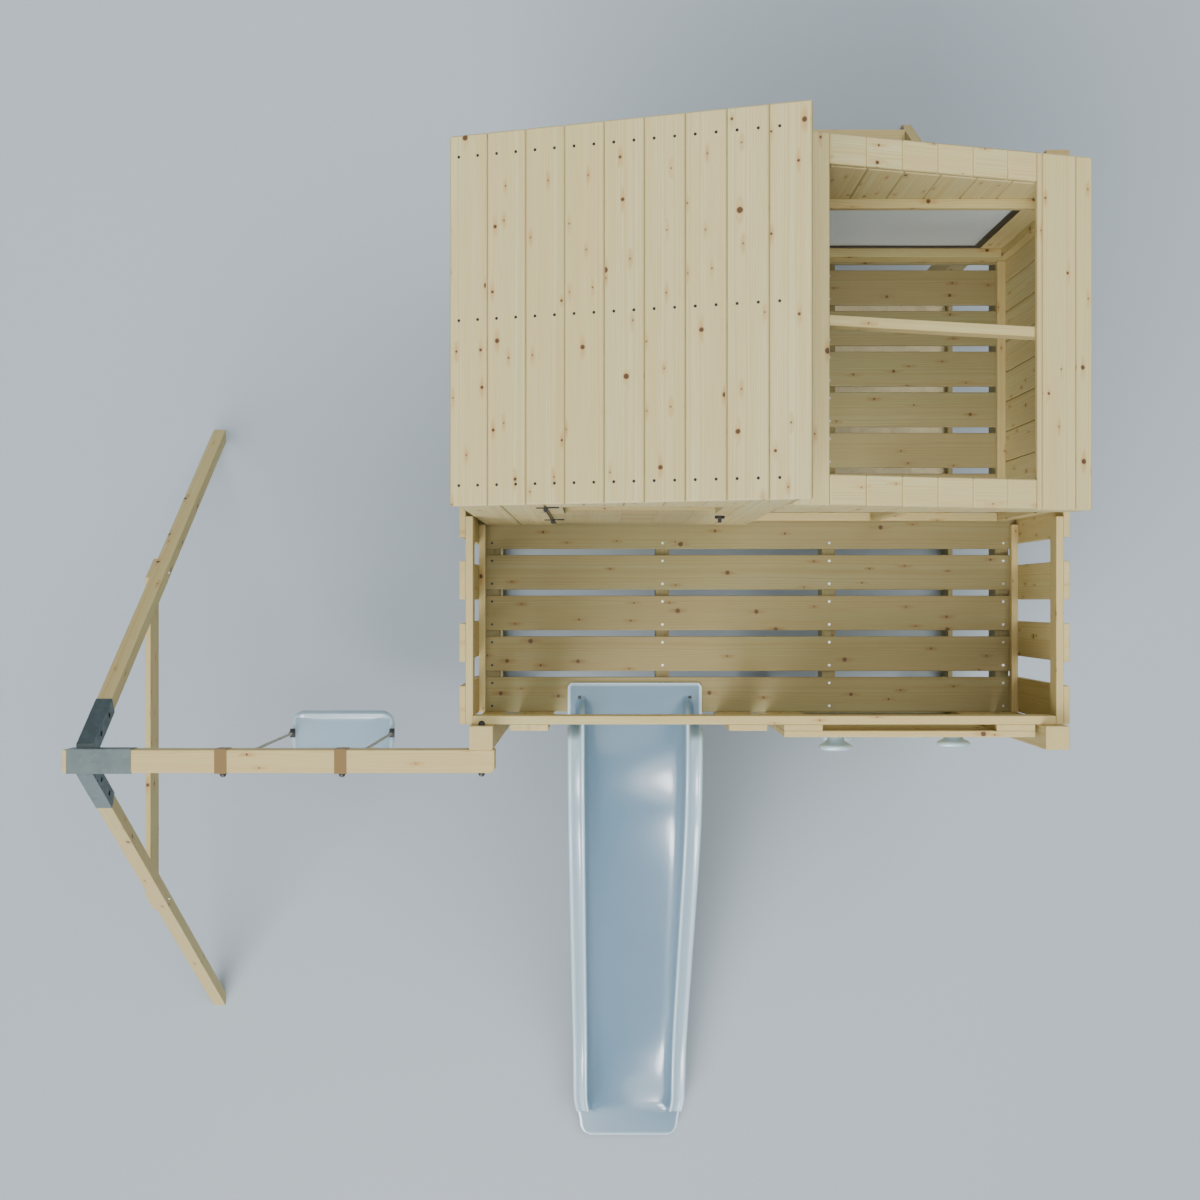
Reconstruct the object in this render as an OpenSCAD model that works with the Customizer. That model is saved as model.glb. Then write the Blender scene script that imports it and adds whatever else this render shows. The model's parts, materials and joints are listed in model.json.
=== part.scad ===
// Wooden play tower: a playhouse on a raised deck with a veranda, a slide, a swing arm and a climbing wall.
// The tower is drawn with x = 0 at the deck's left edge and y = 0 at its front edge, then moved so that the
// origin is at the middle of the whole object's footprint, on the ground.

/* [Deck] */
// Height of the walking surface
deck_h = 1200; // [1000:10:1500]
// Length of the deck boards, across the tower
deck_len = 1780; // [1700:10:2100]
// Width of one deck board
deck_board_w = 115; // [95:1:135]
// Gap between two deck boards
deck_gap = 20; // [5:1:25]
// Number of deck boards
deck_boards_n = 12; // [11:1:14]
// Thickness of a deck board
deck_board_t = 20; // [16:1:28]
// Width of a joist or bearer
joist_w = 45; // [38:1:60]
// Depth of a joist or bearer
joist_d = 95; // [70:1:120]
// Distance that the third joist sits left of its even place
joist_back = 12; // [0:1:40]
// Thickness of the board behind the deck
rim_t = 24; // [18:1:40]

/* [Posts and railing] */
// Side of a square post
post_w = 70; // [60:1:90]
// Distance from the deck's left edge to the left posts
post_inset = 15; // [0:1:30]
// Height of the railing above the deck
rail_h = 570; // [450:10:700]
// Height of the post tops above the railing
post_over = 65; // [40:1:120]
// Thickness of the front rail
rail_t = 26; // [20:1:40]
// Thickness of a side rail at the top
side_rail_t = 22; // [18:1:40]
// Depth of the top rail
top_rail_d = 70; // [50:1:95]
// Thickness of the low rail
kick_t = 22; // [16:1:28]
// Depth of the low rail
kick_d = 31; // [28:1:60]
// Width of a railing board
picket_w = 115; // [90:1:125]
// Thickness of a railing board
picket_t = 19; // [16:1:25]
// Distance from one side railing board to the next
picket_pitch = 186; // [150:1:190]
// How far the railing boards reach below the deck
picket_drop = 110; // [95:5:150]

/* [House] */
// Depth of the veranda in front of the house
veranda_d = 620; // [600:5:700]
// Distance from the house's back wall to the deck's back edge
back_set = 69; // [60:1:100]
// Distance from the deck's left edge to the house
house_in_l = 22; // [19:1:40]
// Distance from the house to the deck's right edge
house_in_r = 28; // [24:1:40]
// Thickness of the wall boards
clad_t = 12; // [10:1:19]
// Cover width of a wall board
clad_w = 108; // [90:1:130]
// Side of a batten
batten = 28; // [22:1:40]
// Open joint between two wall or roof boards
joint = 0.6; // [0.4:0.1:2]
// Width of the doorway
door_w = 524; // [480:2:560]
// Height of the doorway
door_h = 1085; // [1000:5:1090]
// Height of the solid lower half of the door
door_low_h = 690; // [450:10:720]
// Width of the wall left of the doorway
door_x = 232; // [200:2:260]
// Width of the wall right of the doorway
door_panel_w = 96; // [80:1:120]
// Clearance round the door
door_gap = 4; // [3:0.5:6]
// Width of the window
window_w = 630; // [500:10:650]
// Height of the window
window_h = 628; // [400:4:680]
// Height of the window's sill above the deck
sill_h = 92; // [60:2:150]
// Width of the strip round the window
trim_w = 23; // [10:1:40]
// Thickness of the window pane
pane_t = 4; // [3:0.5:6]

/* [Roof] */
// Height of the left eave above the deck
eave_l = 1100; // [1095:5:1200]
// Height of the right eave above the deck
eave_r = 891; // [880:1:920]
// Slope of the left roof, in degrees
pitch_l = 19.7; // [15:0.1:24]
// Slope of the right roof, in degrees
pitch_r = 17.8; // [14:0.1:20]
// Distance from the left eave to the ridge
ridge_x = 922; // [880:2:960]
// How far the left roof reaches past the clerestory
ridge_over = 22; // [15:1:40]
// Thickness of the roof boards
roof_t = 16; // [12:1:20]
// Number of boards in the left roof
roof_boards_l = 9; // [7:1:11]
// Number of full boards in the right roof
roof_boards_r = 8; // [8:1:8]
// Width of the ripped board at the right eave
eave_rip = 52; // [40:1:70]
// Width of the ripped board beside the roof opening
opening_rip = 17; // [12:1:30]
// Depth of a rafter
rafter_d = 60; // [45:1:80]
// How far the roof reaches past the back wall
roof_over = 72; // [60:1:120]
// Depth of the roof in front of the opening
roof_front = 83; // [70:1:120]
// Depth of the roof behind the opening
roof_back = 82; // [76:1:120]

/* [Slide] */
// Distance from the deck's left edge to the slide's middle
slide_x = 515; // [490:5:540]
// Width of the opening in the front railing
slide_gap = 538; // [500:2:560]
// Overall width of the slide
slide_w = 445; // [400:5:480]
// Width of the sliding surface
slide_in = 322; // [290:2:340]
// Length from the deck's front edge to the slide's end
slide_len = 1770; // [1600:10:2100]
// Length of the slide that lies on the deck
slide_lip = 97; // [80:1:110]
// Thickness of the slide's wall
slide_t = 6; // [4:0.5:8]
// Height of the slide's sides
slide_side = 105; // [80:5:130]
// Height of the sliding surface at the end
slide_end_h = 60; // [50:5:120]

/* [Climbing wall] */
// Width of the climbing wall's boards
climb_w = 748; // [700:2:800]
// Distance from the climbing wall to the right post
climb_in = 14; // [2:1:30]
// Number of climbing boards
climb_n = 13; // [10:1:14]
// Gap between climbing boards
climb_gap = 12; // [5:1:25]
// Diameter of a climbing hold's face
hold_d = 114; // [80:2:130]
// How far a climbing hold stands out
hold_out = 80; // [50:2:95]

/* [Swing arm] */
// Side of the swing beam
beam_w = 68; // [60:1:90]
// How far the beam reaches past the deck's left edge
beam_out = 1181; // [1000:1:1600]
// Side of an A-frame leg
leg_w = 48; // [42:1:60]
// Angle of a leg from the vertical, in degrees
leg_tilt = 32.35; // [20:0.05:36]
// Distance from the beam's end to the legs
leg_in = 21; // [12:1:40]
// Height of the cross board's middle
cross_h = 889; // [600:1:1100]
// Width of the cross board
cross_w = 110; // [80:1:140]
// Thickness of sheet steel
steel_t = 2; // [2:0.5:4]
// Length of the bracket on the beam
sleeve_len = 190; // [150:5:250]
// Height of the bracket below the beam's top
bracket_h = 265; // [220:5:320]
// Distance between the two hangers
hanger_span = 352; // [330:2:450]
// Distance from the beam's end to the outer hanger
hanger_in = 466; // [400:1:500]
// How far the hangers' lugs stand in front of the beam's middle
hanger_shift = 10; // [0:1:15]
// Width of a hanger's strap
strap_w = 36; // [28:1:45]
// Radius of a hanger's pivot pin
pin_r = 5; // [4:0.5:6]
// Running clearance round the pivot pin
pin_clear = 0.05; // [0.02:0.01:0.1]

/* [Swing seat] */
// Length of the seat
seat_len = 376; // [360:5:480]
// Width of the seat
seat_w = 160; // [130:5:200]
// Thickness of the seat
seat_t = 30; // [20:1:40]
// Radius of the seat's corners
seat_corner = 45; // [20:5:60]
// Height of the seat above the ground
seat_h = 650; // [350:10:700]
// Diameter of a swing rope
rope_d = 10; // [8:0.5:14]
// Distance between the ropes at the seat
rope_span = 362; // [330:2:440]

/* [Ladder] */
// Overall width of the ladder
ladder_w = 500; // [400:10:520]
// Distance from the ladder's right side to the deck's right edge
ladder_in = 123; // [100:1:160]
// Thickness of a ladder side
stringer_t = 40; // [28:1:45]
// Width of a ladder side
stringer_w = 95; // [70:1:120]
// Angle of the ladder from the ground, in degrees
ladder_tilt = 61; // [55:1:72]
// Number of treads
tread_n = 5; // [4:1:6]
// Depth of a tread
tread_d = 95; // [70:1:110]
// Thickness of a tread
tread_t = 28; // [20:1:35]

/* [Base] */
// Height of the base boards
base_h = 120; // [90:5:150]
// Thickness of the base boards
base_t = 25; // [19:1:35]

/* [Fasteners] */
// Radius of a screw's head
screw_r = 4; // [3:0.5:5]
// Length of a screw
screw_len = 45; // [40:1:50]
// Length of a screw in the railing
rail_screw_len = 40; // [30:1:40]
// Radius of a bolt
bolt_r = 5; // [4:0.5:6]
// Radius of a bolt's cap
cap_r = 10; // [9:1:15]
// Height of a bolt's cap
cap_h = 14; // [12:1:20]

/* [Hidden] */
$fn = 40;
spruce = [0.80, 0.75, 0.61];
pale_spruce = [0.84, 0.80, 0.67];
shaded_spruce = [0.66, 0.61, 0.47];
plastic = [0.68, 0.78, 0.85];
black = [0.05, 0.05, 0.06];
steel = [0.45, 0.50, 0.50];
zinc = [0.75, 0.76, 0.76];
// How far a screw's or cap's face stands proud of the wood
proud = 0.5;
// Shank radius of a wood screw
shank_r = screw_r / 2;

deck_d = deck_boards_n * deck_board_w + (deck_boards_n - 1) * deck_gap;
board_pitch = deck_board_w + deck_gap;
joist_top = deck_h - deck_board_t;
joist_z = joist_top - joist_d;
bearer_z = joist_z - joist_d;
joist_xs = [for (k = [0:3]) 19.5 + k * (deck_len - 39 - joist_w) / 3 - (k == 2 ? joist_back : 0)];
post_top = deck_h + rail_h + post_over;
rail_top = deck_h + rail_h;
post_xs = [post_inset, deck_len - post_w];
rear_post_y = deck_d + rim_t;
picket_y = [0, picket_pitch, 2 * picket_pitch, 3 * picket_pitch];

house_x0 = house_in_l;
house_x1 = deck_len - house_in_r;
house_y0 = veranda_d;
house_y1 = deck_d - back_set;
in_x0 = house_x0 + clad_t;
in_x1 = house_x1 - clad_t;
in_y0 = house_y0 + clad_t;
in_y1 = house_y1 - clad_t;
door_x0 = house_x0 + door_x;
door_x1 = door_x0 + door_w;
frame_x0 = door_x1 + door_panel_w;
door_top = deck_h + door_h;
window_x1 = in_x1 - 100;
window_x0 = window_x1 - window_w;
window_z0 = deck_h + sill_h;
window_z1 = window_z0 + window_h;
// Height of the window above the batten under it, and of the batten over it above the window
window_seat = 2;
window_head = 16;

roof_x0 = 0;
roof_x1 = deck_len - 9;
roof_y0 = house_y0;
roof_y1 = house_y1 + roof_over;
eave_lz = deck_h + eave_l;
eave_rz = deck_h + eave_r;
// Clearance between a rafter and the boards that lie on it
rest_gap = 0.05;
// Heights of the roofs' upper faces, undersides and rafter undersides at a distance x across the tower
function left_top(x) = eave_lz + (x - roof_x0) * tan(pitch_l);
function right_top(x) = eave_rz + (roof_x1 - x) * tan(pitch_r);
function left_under(x) = left_top(x) - roof_t / cos(pitch_l);
function right_under(x) = right_top(x) - roof_t / cos(pitch_r);
function left_low(x) = left_under(x) - rafter_d / cos(pitch_l);
function right_low(x) = right_under(x) - rafter_d / cos(pitch_r);
strut_x1 = ridge_x - ridge_over - clad_t;
step_x = ridge_x - ridge_over;
seat_lx = in_x0 + batten;
seat_rx = in_x1 - batten;
wall_top_l = left_low(seat_lx);
wall_top_r = right_low(seat_rx);
rafter_ys = [in_y0 + batten, (roof_y0 + roof_y1 - batten) / 2, house_y1];
left_slope = (ridge_x - roof_x0) / cos(pitch_l);
// The right boards end square, so that their lower corner meets the clerestory
right_slope = (roof_x1 - step_x) / cos(pitch_r) - roof_t * tan(pitch_r);
board_l = left_slope / roof_boards_l;
board_r = (right_slope - eave_rip) / roof_boards_r;
frame_top = min(wall_top_r, right_low(seat_rx)) - 2;

beam_y1 = -post_w;
beam_y0 = beam_y1 - beam_w;
beam_mid = beam_y0 + beam_w / 2;
beam_x1 = post_xs[0] + post_w + 5;
beam_z1 = post_top;
beam_z0 = beam_z1 - beam_w;
leg_x0 = -beam_out + leg_in;
foot_out = beam_z1 * tan(leg_tilt);
cross_x0 = leg_x0 - picket_t;
hanger_xs = [-beam_out + hanger_in, -beam_out + hanger_in + hanger_span];
lug_t = 8;
hang_y = beam_mid - hanger_shift;
lug_z = beam_z0 - steel_t;
pivot_z = lug_z - 22;
shackle_gap = 1;
seat_mid = (hanger_xs[0] + hanger_xs[1]) / 2;
rope_top = pivot_z - 32;
clip_h = 40;
rope_low = seat_h + clip_h;

climb_x1 = post_xs[1] - climb_in;
climb_x0 = climb_x1 - climb_w;
climb_y = -2 * picket_t;
climb_pitch = picket_w + climb_gap;
climb_low = rail_top - climb_n * climb_pitch + climb_gap;
// Left edges and widths of the two boards beside the slide
front_xs = [[slide_x - slide_gap / 2 - picket_w, picket_w], [slide_x + slide_gap / 2, picket_w]];
batten_xs = [climb_x0, climb_x1 - picket_w];
hold_spots = [for (k = [0:7]) [climb_x0 + [215, 272, 623, 560, 200, 400, 620, 250][k],
    climb_low + climb_pitch * [9, 6, 8, 5, 3, 4, 2, 0][k] + picket_w / 2]];

stringer_run = deck_h / tan(ladder_tilt);
ladder_y0 = deck_d + rim_t;
ladder_x1 = deck_len - ladder_in;
ladder_x0 = ladder_x1 - ladder_w;
ladder_foot = ladder_y0 + stringer_run;

// The whole object's box, which sets the origin
all_x0 = cross_x0;
all_x1 = deck_len + picket_t;
all_y0 = -slide_len;
all_y1 = ladder_foot;

module place() translate([-(all_x0 + all_x1) / 2, -(all_y0 + all_y1) / 2, 0]) children();

// A straight board between two corners
module bar(a, b) translate(a) cube(b - a);

// A board in the plane of the x and z axes, drawn by its outline and reaching back from y0 by t
module panel(y0, t, outline) translate([0, y0 + t, 0]) rotate([90, 0, 0]) linear_extrude(t) polygon(outline);

// A wood screw with its head at the origin, driven down
module screw(out = proud, len = screw_len) {
    translate([0, 0, -3]) cylinder(r1 = shank_r, r2 = screw_r, h = 3, $fn = 16);
    if (out > 0) cylinder(r = screw_r, h = out, $fn = 16);
    translate([0, 0, 3 - len]) cylinder(r = shank_r, h = len - 6, $fn = 16);
}

// A railing screw driven into a front, left or right face
module screw_back(at) translate(at) rotate([90, 0, 0]) screw(len = rail_screw_len);
module screw_right(at) translate(at) rotate([0, -90, 0]) screw(len = rail_screw_len);
module screw_left(at) translate(at) rotate([0, 90, 0]) screw(len = rail_screw_len);

// A dome-topped plastic cap, standing up from the origin
module dome_cap() rotate_extrude($fn = 32) intersection() {
    union() {
        square([cap_r, cap_h - cap_r]);
        translate([0, cap_h - cap_r]) circle(cap_r, $fn = 48);
    }
    square([cap_r, cap_h]);
}

module posts() place() color(spruce)
    for (x = post_xs, y = [-post_w, rear_post_y]) bar([x, y, 0], [x + post_w, y + post_w, post_top]);

module deck_joists() place() color(shaded_spruce)
    for (x = joist_xs) bar([x, 0, joist_z], [x + joist_w, deck_d, joist_top]);

module deck_bearers() place() color(shaded_spruce)
    for (y = [0, deck_d - joist_w]) bar([0, y, bearer_z], [deck_len, y + joist_w, joist_z]);

module deck_rim() place() color(shaded_spruce)
    bar([0, deck_d, bearer_z], [deck_len, deck_d + rim_t, deck_h]);

module deck_boards() place() color(spruce)
    for (k = [0:deck_boards_n - 1])
        bar([0, k * board_pitch, joist_top], [deck_len, k * board_pitch + deck_board_w, deck_h]);

// Whether a point of the deck lies under the house's walls or the slide's lip
function covered(x, y) =
    (y > house_y0 - screw_r && y < house_y1 + screw_r
        && (x < seat_lx + screw_r || x > seat_rx - screw_r
            || y < in_y0 + batten + screw_r || y > in_y1 - batten - screw_r))
    || (y < slide_lip + screw_r && abs(x - slide_x) < slide_w / 2);

// The screws that hold the deck boards down on one joist
module joist_row(x)
    for (k = [0:deck_boards_n - 1], e = [0.17, 0.83]) {
        at = [x + joist_w / 2, k * board_pitch + e * deck_board_w];
        translate([at[0], at[1], deck_h]) screw(covered(at[0], at[1]) ? 0 : proud);
    }

module deck_screws() place() color(black) joist_row(joist_xs[0]);

module joist_screws() place() color(zinc) for (k = [1:3]) joist_row(joist_xs[k]);

// The boards along the ground lie inside the deck's outline on the left and outside it on the right
base_x0 = post_xs[0] - min(base_t, post_inset);
base_x1 = deck_len + picket_t;

module base_boards() place() color(shaded_spruce)
    for (x = [[base_x0, post_xs[0]], [deck_len, base_x1]])
        bar([x[0], -post_w, 0], [x[1], rear_post_y + post_w, base_h]);

module sandpit_boards() place() color(shaded_spruce)
    for (y = [house_y0, deck_d])
        bar([post_xs[0], y, 0], [deck_len, y + min(base_t, rim_t), base_h]);

module side_top_rails() place() color(spruce)
    for (x = [0, deck_len - side_rail_t])
        bar([x, 0, rail_top - top_rail_d], [x + side_rail_t, veranda_d, rail_top]);

module side_low_rails() place() color(spruce)
    for (x = [0, deck_len - kick_t]) bar([x, 0, deck_h], [x + kick_t, veranda_d, deck_h + kick_d]);

module front_rail() place() color(spruce)
    bar([side_rail_t, 0, rail_top - top_rail_d], [deck_len - side_rail_t, rail_t, rail_top]);

module side_railing_boards() place() color(spruce)
    for (x = [-picket_t, deck_len], y = picket_y)
        bar([x, y, deck_h - picket_drop], [x + picket_t, y + picket_w, rail_top]);

module front_railing_boards() place() color(spruce)
    for (p = front_xs) bar([p[0], -picket_t, deck_h - picket_drop], [p[0] + p[1], 0, rail_top]);

module railing_screws() place() color(black) {
    for (y = picket_y, e = [0.25, 0.75], z = [rail_top - 25, deck_h + kick_d / 2]) {
        y_at = min(y + e * picket_w, veranda_d - 12);
        screw_right([-picket_t, y_at, z]);
        screw_left([deck_len + picket_t, y_at, z]);
    }
    for (p = front_xs, e = [0.25, 0.75]) screw_back([p[0] + e * p[1], -picket_t, rail_top - 25]);
}

// Wall boards that stand side by side along a side wall
module side_wall(x, top) {
    n = ceil((in_y1 - in_y0) / clad_w);
    w = (in_y1 - in_y0) / n;
    for (k = [0:n - 1]) bar([x, in_y0 + k * w, deck_h], [x + clad_t, in_y0 + (k + 1) * w - joint, top]);
}

module wall_left() place() color(pale_spruce) side_wall(house_x0, wall_top_l);
module wall_right() place() color(pale_spruce) side_wall(in_x1, wall_top_r);

// Height of the roof's underside over a point of the front or back wall
function roof_under(x) = (x <= strut_x1 ? left_under(x) : right_under(x)) - rest_gap;

// Boards that stand side by side between xa and xb, from z0 up to the roof or to a level top
module gable_boards(y, xa, xb, z0, top = 0) {
    n = max(1, round((xb - xa) / clad_w));
    w = (xb - xa) / n;
    for (k = [0:n - 1]) {
        a = xa + k * w;
        b = a + w - joint;
        za = top > 0 ? top : roof_under(a + 0.01);
        zb = top > 0 ? top : roof_under(b - 0.01);
        panel(y, clad_t, [[a, z0], [b, z0], [b, zb], [a, za]]);
    }
}

module wall_back() place() color(pale_spruce) {
    gable_boards(in_y1, house_x0, strut_x1, deck_h);
    gable_boards(in_y1, strut_x1, window_x0, deck_h);
    gable_boards(in_y1, window_x0, window_x1, deck_h, window_z0);
    gable_boards(in_y1, window_x0, window_x1, window_z1);
    gable_boards(in_y1, window_x1, house_x1, deck_h);
}

module wall_front() place() color(pale_spruce) {
    gable_boards(house_y0, house_x0, door_x0, deck_h);
    gable_boards(house_y0, door_x0, door_x1, door_top);
    gable_boards(house_y0, door_x1, strut_x1, deck_h);
}

module front_gable() place() color(pale_spruce)
    gable_boards(house_y0, strut_x1, house_x1, frame_top - batten);

module wall_battens() place() color(spruce) {
    near_y = in_y0 + batten + joint;
    far_y = in_y1 - batten - joint;
    for (z = [deck_h, wall_top_l - batten])
        bar([in_x0, near_y, z], [in_x0 + batten, far_y, z + batten]);
    for (z = [deck_h, wall_top_r - batten])
        bar([in_x1 - batten, near_y, z], [in_x1, far_y, z + batten]);
    for (y = [in_y0, in_y1 - batten]) {
        bar([in_x0, y, deck_h], [in_x0 + batten, y + batten, wall_top_l]);
        bar([in_x1 - batten, y, deck_h], [in_x1, y + batten, wall_top_r]);
    }
    for (z = [[deck_h, window_z0 - window_seat], [window_z1 + window_head, window_z1 + window_head + batten]])
        bar([in_x0 + batten + joint, in_y1 - batten, z[0]],
            [in_x1 - batten - joint, in_y1, z[1]]);
}

module front_frame() place() color(spruce) {
    for (x = [frame_x0, frame_x0 + 417])
        bar([x, in_y0, deck_h + batten + joint], [x + batten, in_y0 + batten, frame_top - batten - joint]);
    for (z = [deck_h, frame_top - batten])
        bar([frame_x0, in_y0, z], [in_x1 - batten - joint, in_y0 + batten, z + batten]);
}

module door_post() place() color(spruce) {
    for (x = [door_x0 - batten, door_x1 + 2])
        bar([x, in_y0, deck_h], [x + batten, in_y0 + batten, door_top + batten]);
    bar([door_x0 + joint, in_y0, door_top], [door_x1 + 2 - joint, in_y0 + batten, door_top + batten]);
}

// Thickness of the strip round the window, which the pane lies behind
trim_t = 3;

module window_pane() place() color([0.85, 0.88, 0.88, 0.6])
    bar([window_x0 + 1, in_y1 + trim_t, window_z0 + 1],
        [window_x1 - 1, in_y1 + trim_t + pane_t, window_z1 - 1]);

module window_trim() place() color(black) {
    for (z = [window_z0, window_z1 - trim_w])
        bar([window_x0, in_y1, z], [window_x1, in_y1 + trim_t, z + trim_w]);
    for (x = [window_x0, window_x1 - trim_w])
        bar([x, in_y1, window_z0 + trim_w], [x + trim_w, in_y1 + trim_t, window_z1 - trim_w]);
}

// One roof board of the left slope, from the distance a to b up the slope
module left_board(a, b, ya, yb) translate([roof_x0, 0, eave_lz]) rotate([0, -pitch_l, 0])
    bar([a, ya, -roof_t], [b - joint, yb, 0]);
module right_board(a, b, ya, yb) translate([roof_x1, 0, eave_rz]) rotate([0, pitch_r, 0])
    bar([joint - b, ya, -roof_t], [-a, yb, 0]);

module roof_left() place() color(pale_spruce)
    for (k = [0:roof_boards_l - 1]) left_board(k * board_l, (k + 1) * board_l, roof_y0, roof_y1);

module roof_right() place() color(pale_spruce) {
    right_board(0, eave_rip, roof_y0, roof_y1);
    for (k = [0, roof_boards_r - 1])
        right_board(eave_rip + k * board_r, eave_rip + (k + 1) * board_r, roof_y0, roof_y1);
    right_board(eave_rip + board_r, eave_rip + board_r + opening_rip, roof_y0, roof_y1);
    for (k = [1:roof_boards_r - 2], y = [[roof_y0, roof_y0 + roof_front], [roof_y1 - roof_back, roof_y1]]) {
        a = eave_rip + k * board_r + (k == 1 ? opening_rip : 0);
        right_board(a, eave_rip + (k + 1) * board_r, y[0], y[1]);
    }
}

module roof_rafters() place() color(spruce)
    for (y = rafter_ys) {
        tail_l = roof_x0 + 8;
        tail_r = roof_x1 - 8;
        panel(y, batten, [[tail_l, wall_top_l], [seat_lx, wall_top_l], [strut_x1, left_low(strut_x1)],
            [strut_x1, left_under(strut_x1) - rest_gap], [tail_l, left_under(tail_l) - rest_gap]]);
        panel(y, batten, [[strut_x1, right_low(strut_x1)], [seat_rx, wall_top_r], [tail_r, wall_top_r],
            [tail_r, right_under(tail_r) - rest_gap], [strut_x1, right_under(strut_x1) - rest_gap]]);
    }

module rafter_struts() place() color(spruce)
    for (y = rafter_ys) {
        a = strut_x1 - batten;
        low = right_low(strut_x1);
        panel(y, batten, [[a, low], [strut_x1, low], [strut_x1, left_low(strut_x1)], [a, left_low(a)]]);
    }

module clerestory() place() color(pale_spruce) {
    n = round((roof_y1 - roof_y0) / clad_w);
    w = (roof_y1 - roof_y0) / n;
    for (k = [0:n - 1]) translate([0, roof_y0 + (k + 1) * w, 0]) rotate([90, 0, 0]) linear_extrude(w - joint)
        polygon([[strut_x1, right_under(strut_x1)], [step_x, right_under(strut_x1)],
            [step_x, left_under(step_x)], [strut_x1, left_under(strut_x1)]]);
}

// Screws in the left roof, as far up as its boards lie on the rafters
module roof_screws() place() color(black)
    for (y = rafter_ys, k = [0:roof_boards_l - 1], e = [0.25, 0.75])
        if ((k + e) * board_l < left_slope - 60)
            translate([roof_x0, 0, eave_lz]) rotate([0, -pitch_l, 0])
                translate([(k + e) * board_l, y + batten / 2, 0]) screw();

// The door, hinged on its left
door_in0 = door_x0 + door_gap;
door_in1 = door_x1 - door_gap;
door_z0 = deck_h + 25;
door_z1 = door_top - door_gap;
door_low = deck_h + door_low_h;
stile_w = 40;
hinge_y = house_y0 - 8;
strap_h = 30;
hinge_zs = [door_z0 + 345, door_z1 - stile_w];
hinge_r = 6;
rod_r = 2.5;
// How far a hinge reaches along the door and along the wall
strap_reach = 36;
leaf_reach = 26;
// The latch turns in the middle of the door's right stile
latch_x = door_in1 - stile_w / 2;
latch_z = door_low - 90;
latch_r = 3;
back_y = in_y0 + batten;

module latch_bore() translate([latch_x, in_y0 - clad_t - 1, latch_z]) rotate([-90, 0, 0])
    cylinder(r = latch_r + pin_clear, h = clad_t + batten + 2);

module door_boards() place() color(pale_spruce) difference() {
    n = 5;
    w = (door_in1 - door_in0) / n;
    for (k = [0:n - 1])
        bar([door_in0 + k * w, house_y0, door_z0], [door_in0 + (k + 1) * w - joint, in_y0, door_low]);
    latch_bore();
}

module door_frame() place() color(spruce) difference() {
    union() {
        for (x = [door_in0, door_in1 - stile_w])
            bar([x, in_y0, door_z0], [x + stile_w, back_y, door_z1]);
        for (z = [door_z0, door_low - stile_w, door_z1 - stile_w])
            bar([door_in0 + stile_w + joint, in_y0, z],
                [door_in1 - stile_w - joint, back_y, z + stile_w]);
        for (x = [door_in0, door_in1 - stile_w])
            bar([x, house_y0, door_low + joint], [x + stile_w, in_y0 - joint / 2, door_z1]);
        bar([door_in0 + stile_w + joint, house_y0, door_z1 - stile_w],
            [door_in1 - stile_w - joint, in_y0 - joint / 2, door_z1]);
    }
    latch_bore();
}

module door_straps() place() color(black)
    for (z = hinge_zs) difference() {
        union() {
            translate([door_x0, hinge_y, z]) cylinder(r = hinge_r, h = strap_h);
            bar([door_x0, house_y0 - 3, z], [door_x0 + strap_reach, house_y0, z + strap_h]);
            bar([door_x0, hinge_y, z], [door_x0 + hinge_r, house_y0, z + strap_h]);
        }
        translate([door_x0, hinge_y, z - 1]) cylinder(r = rod_r + pin_clear, h = strap_h + 2);
    }

// One long rod through both straps, with a leaf under each that holds it to the wall
module hinge_rod() place() color(black) {
    translate([door_x0, hinge_y, hinge_zs[0] - 14])
        cylinder(r = rod_r, h = hinge_zs[1] - hinge_zs[0] + strap_h + 18);
    for (z = hinge_zs) {
        translate([door_x0, hinge_y, z - 14]) cylinder(r = hinge_r, h = 13.5);
        bar([door_x0 - leaf_reach, house_y0 - 3, z - 14], [door_x0 - hinge_r, house_y0, z - 0.5]);
        bar([door_x0 - hinge_r, hinge_y, z - 14], [door_x0 - 2, house_y0, z - 0.5]);
    }
}

// The knob is a disc with a grip across it, upright when the latch is open
module latch_knob() place() color(black) {
    translate([latch_x, house_y0 - 0.5, latch_z]) rotate([90, 0, 0]) cylinder(r = 14.5, h = 8);
    bar([latch_x - 5, house_y0 - 20, latch_z - 13], [latch_x + 5, house_y0 - 8, latch_z + 13]);
}

// The spindle passes through the stile to a tongue that turns behind the door post
module latch_tongue() place() color(black) {
    translate([latch_x, house_y0 - 0.5, latch_z]) rotate([-90, 0, 0])
        cylinder(r = latch_r, h = clad_t + batten + 1);
    bar([latch_x - 7, back_y + 0.5, latch_z - 8], [latch_x + 7, back_y + 4.5, latch_z + 45]);
}

// Height of the sliding surface at a distance u, from 0 at the deck's edge to 1 at the slide's end
bed_z0 = deck_h + slide_t;
steps = 24;
function bed(u) = u <= 0 ? bed_z0 : slide_end_h + (bed_z0 - slide_end_h)
    * (1 - u + 0.13 * sin(360 * u) + 0.02 * sin(720 * u));
// A band that follows the surface between two distances, from lo to hi above it
module band(x0, x1, u0, u1, lo, hi) {
    us = [for (k = [0:steps]) u0 + (u1 - u0) * k / steps];
    translate([x0, 0, 0]) rotate([90, 0, 90]) linear_extrude(x1 - x0)
        polygon(concat([for (u = us) [-u * slide_len, bed(u) + lo]],
            [for (k = [steps:-1:0]) [-us[k] * slide_len, bed(us[k]) + hi]]));
}
lip_u = -slide_lip / slide_len;
side_u0 = 0.012;
side_u1 = 0.94;

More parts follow.
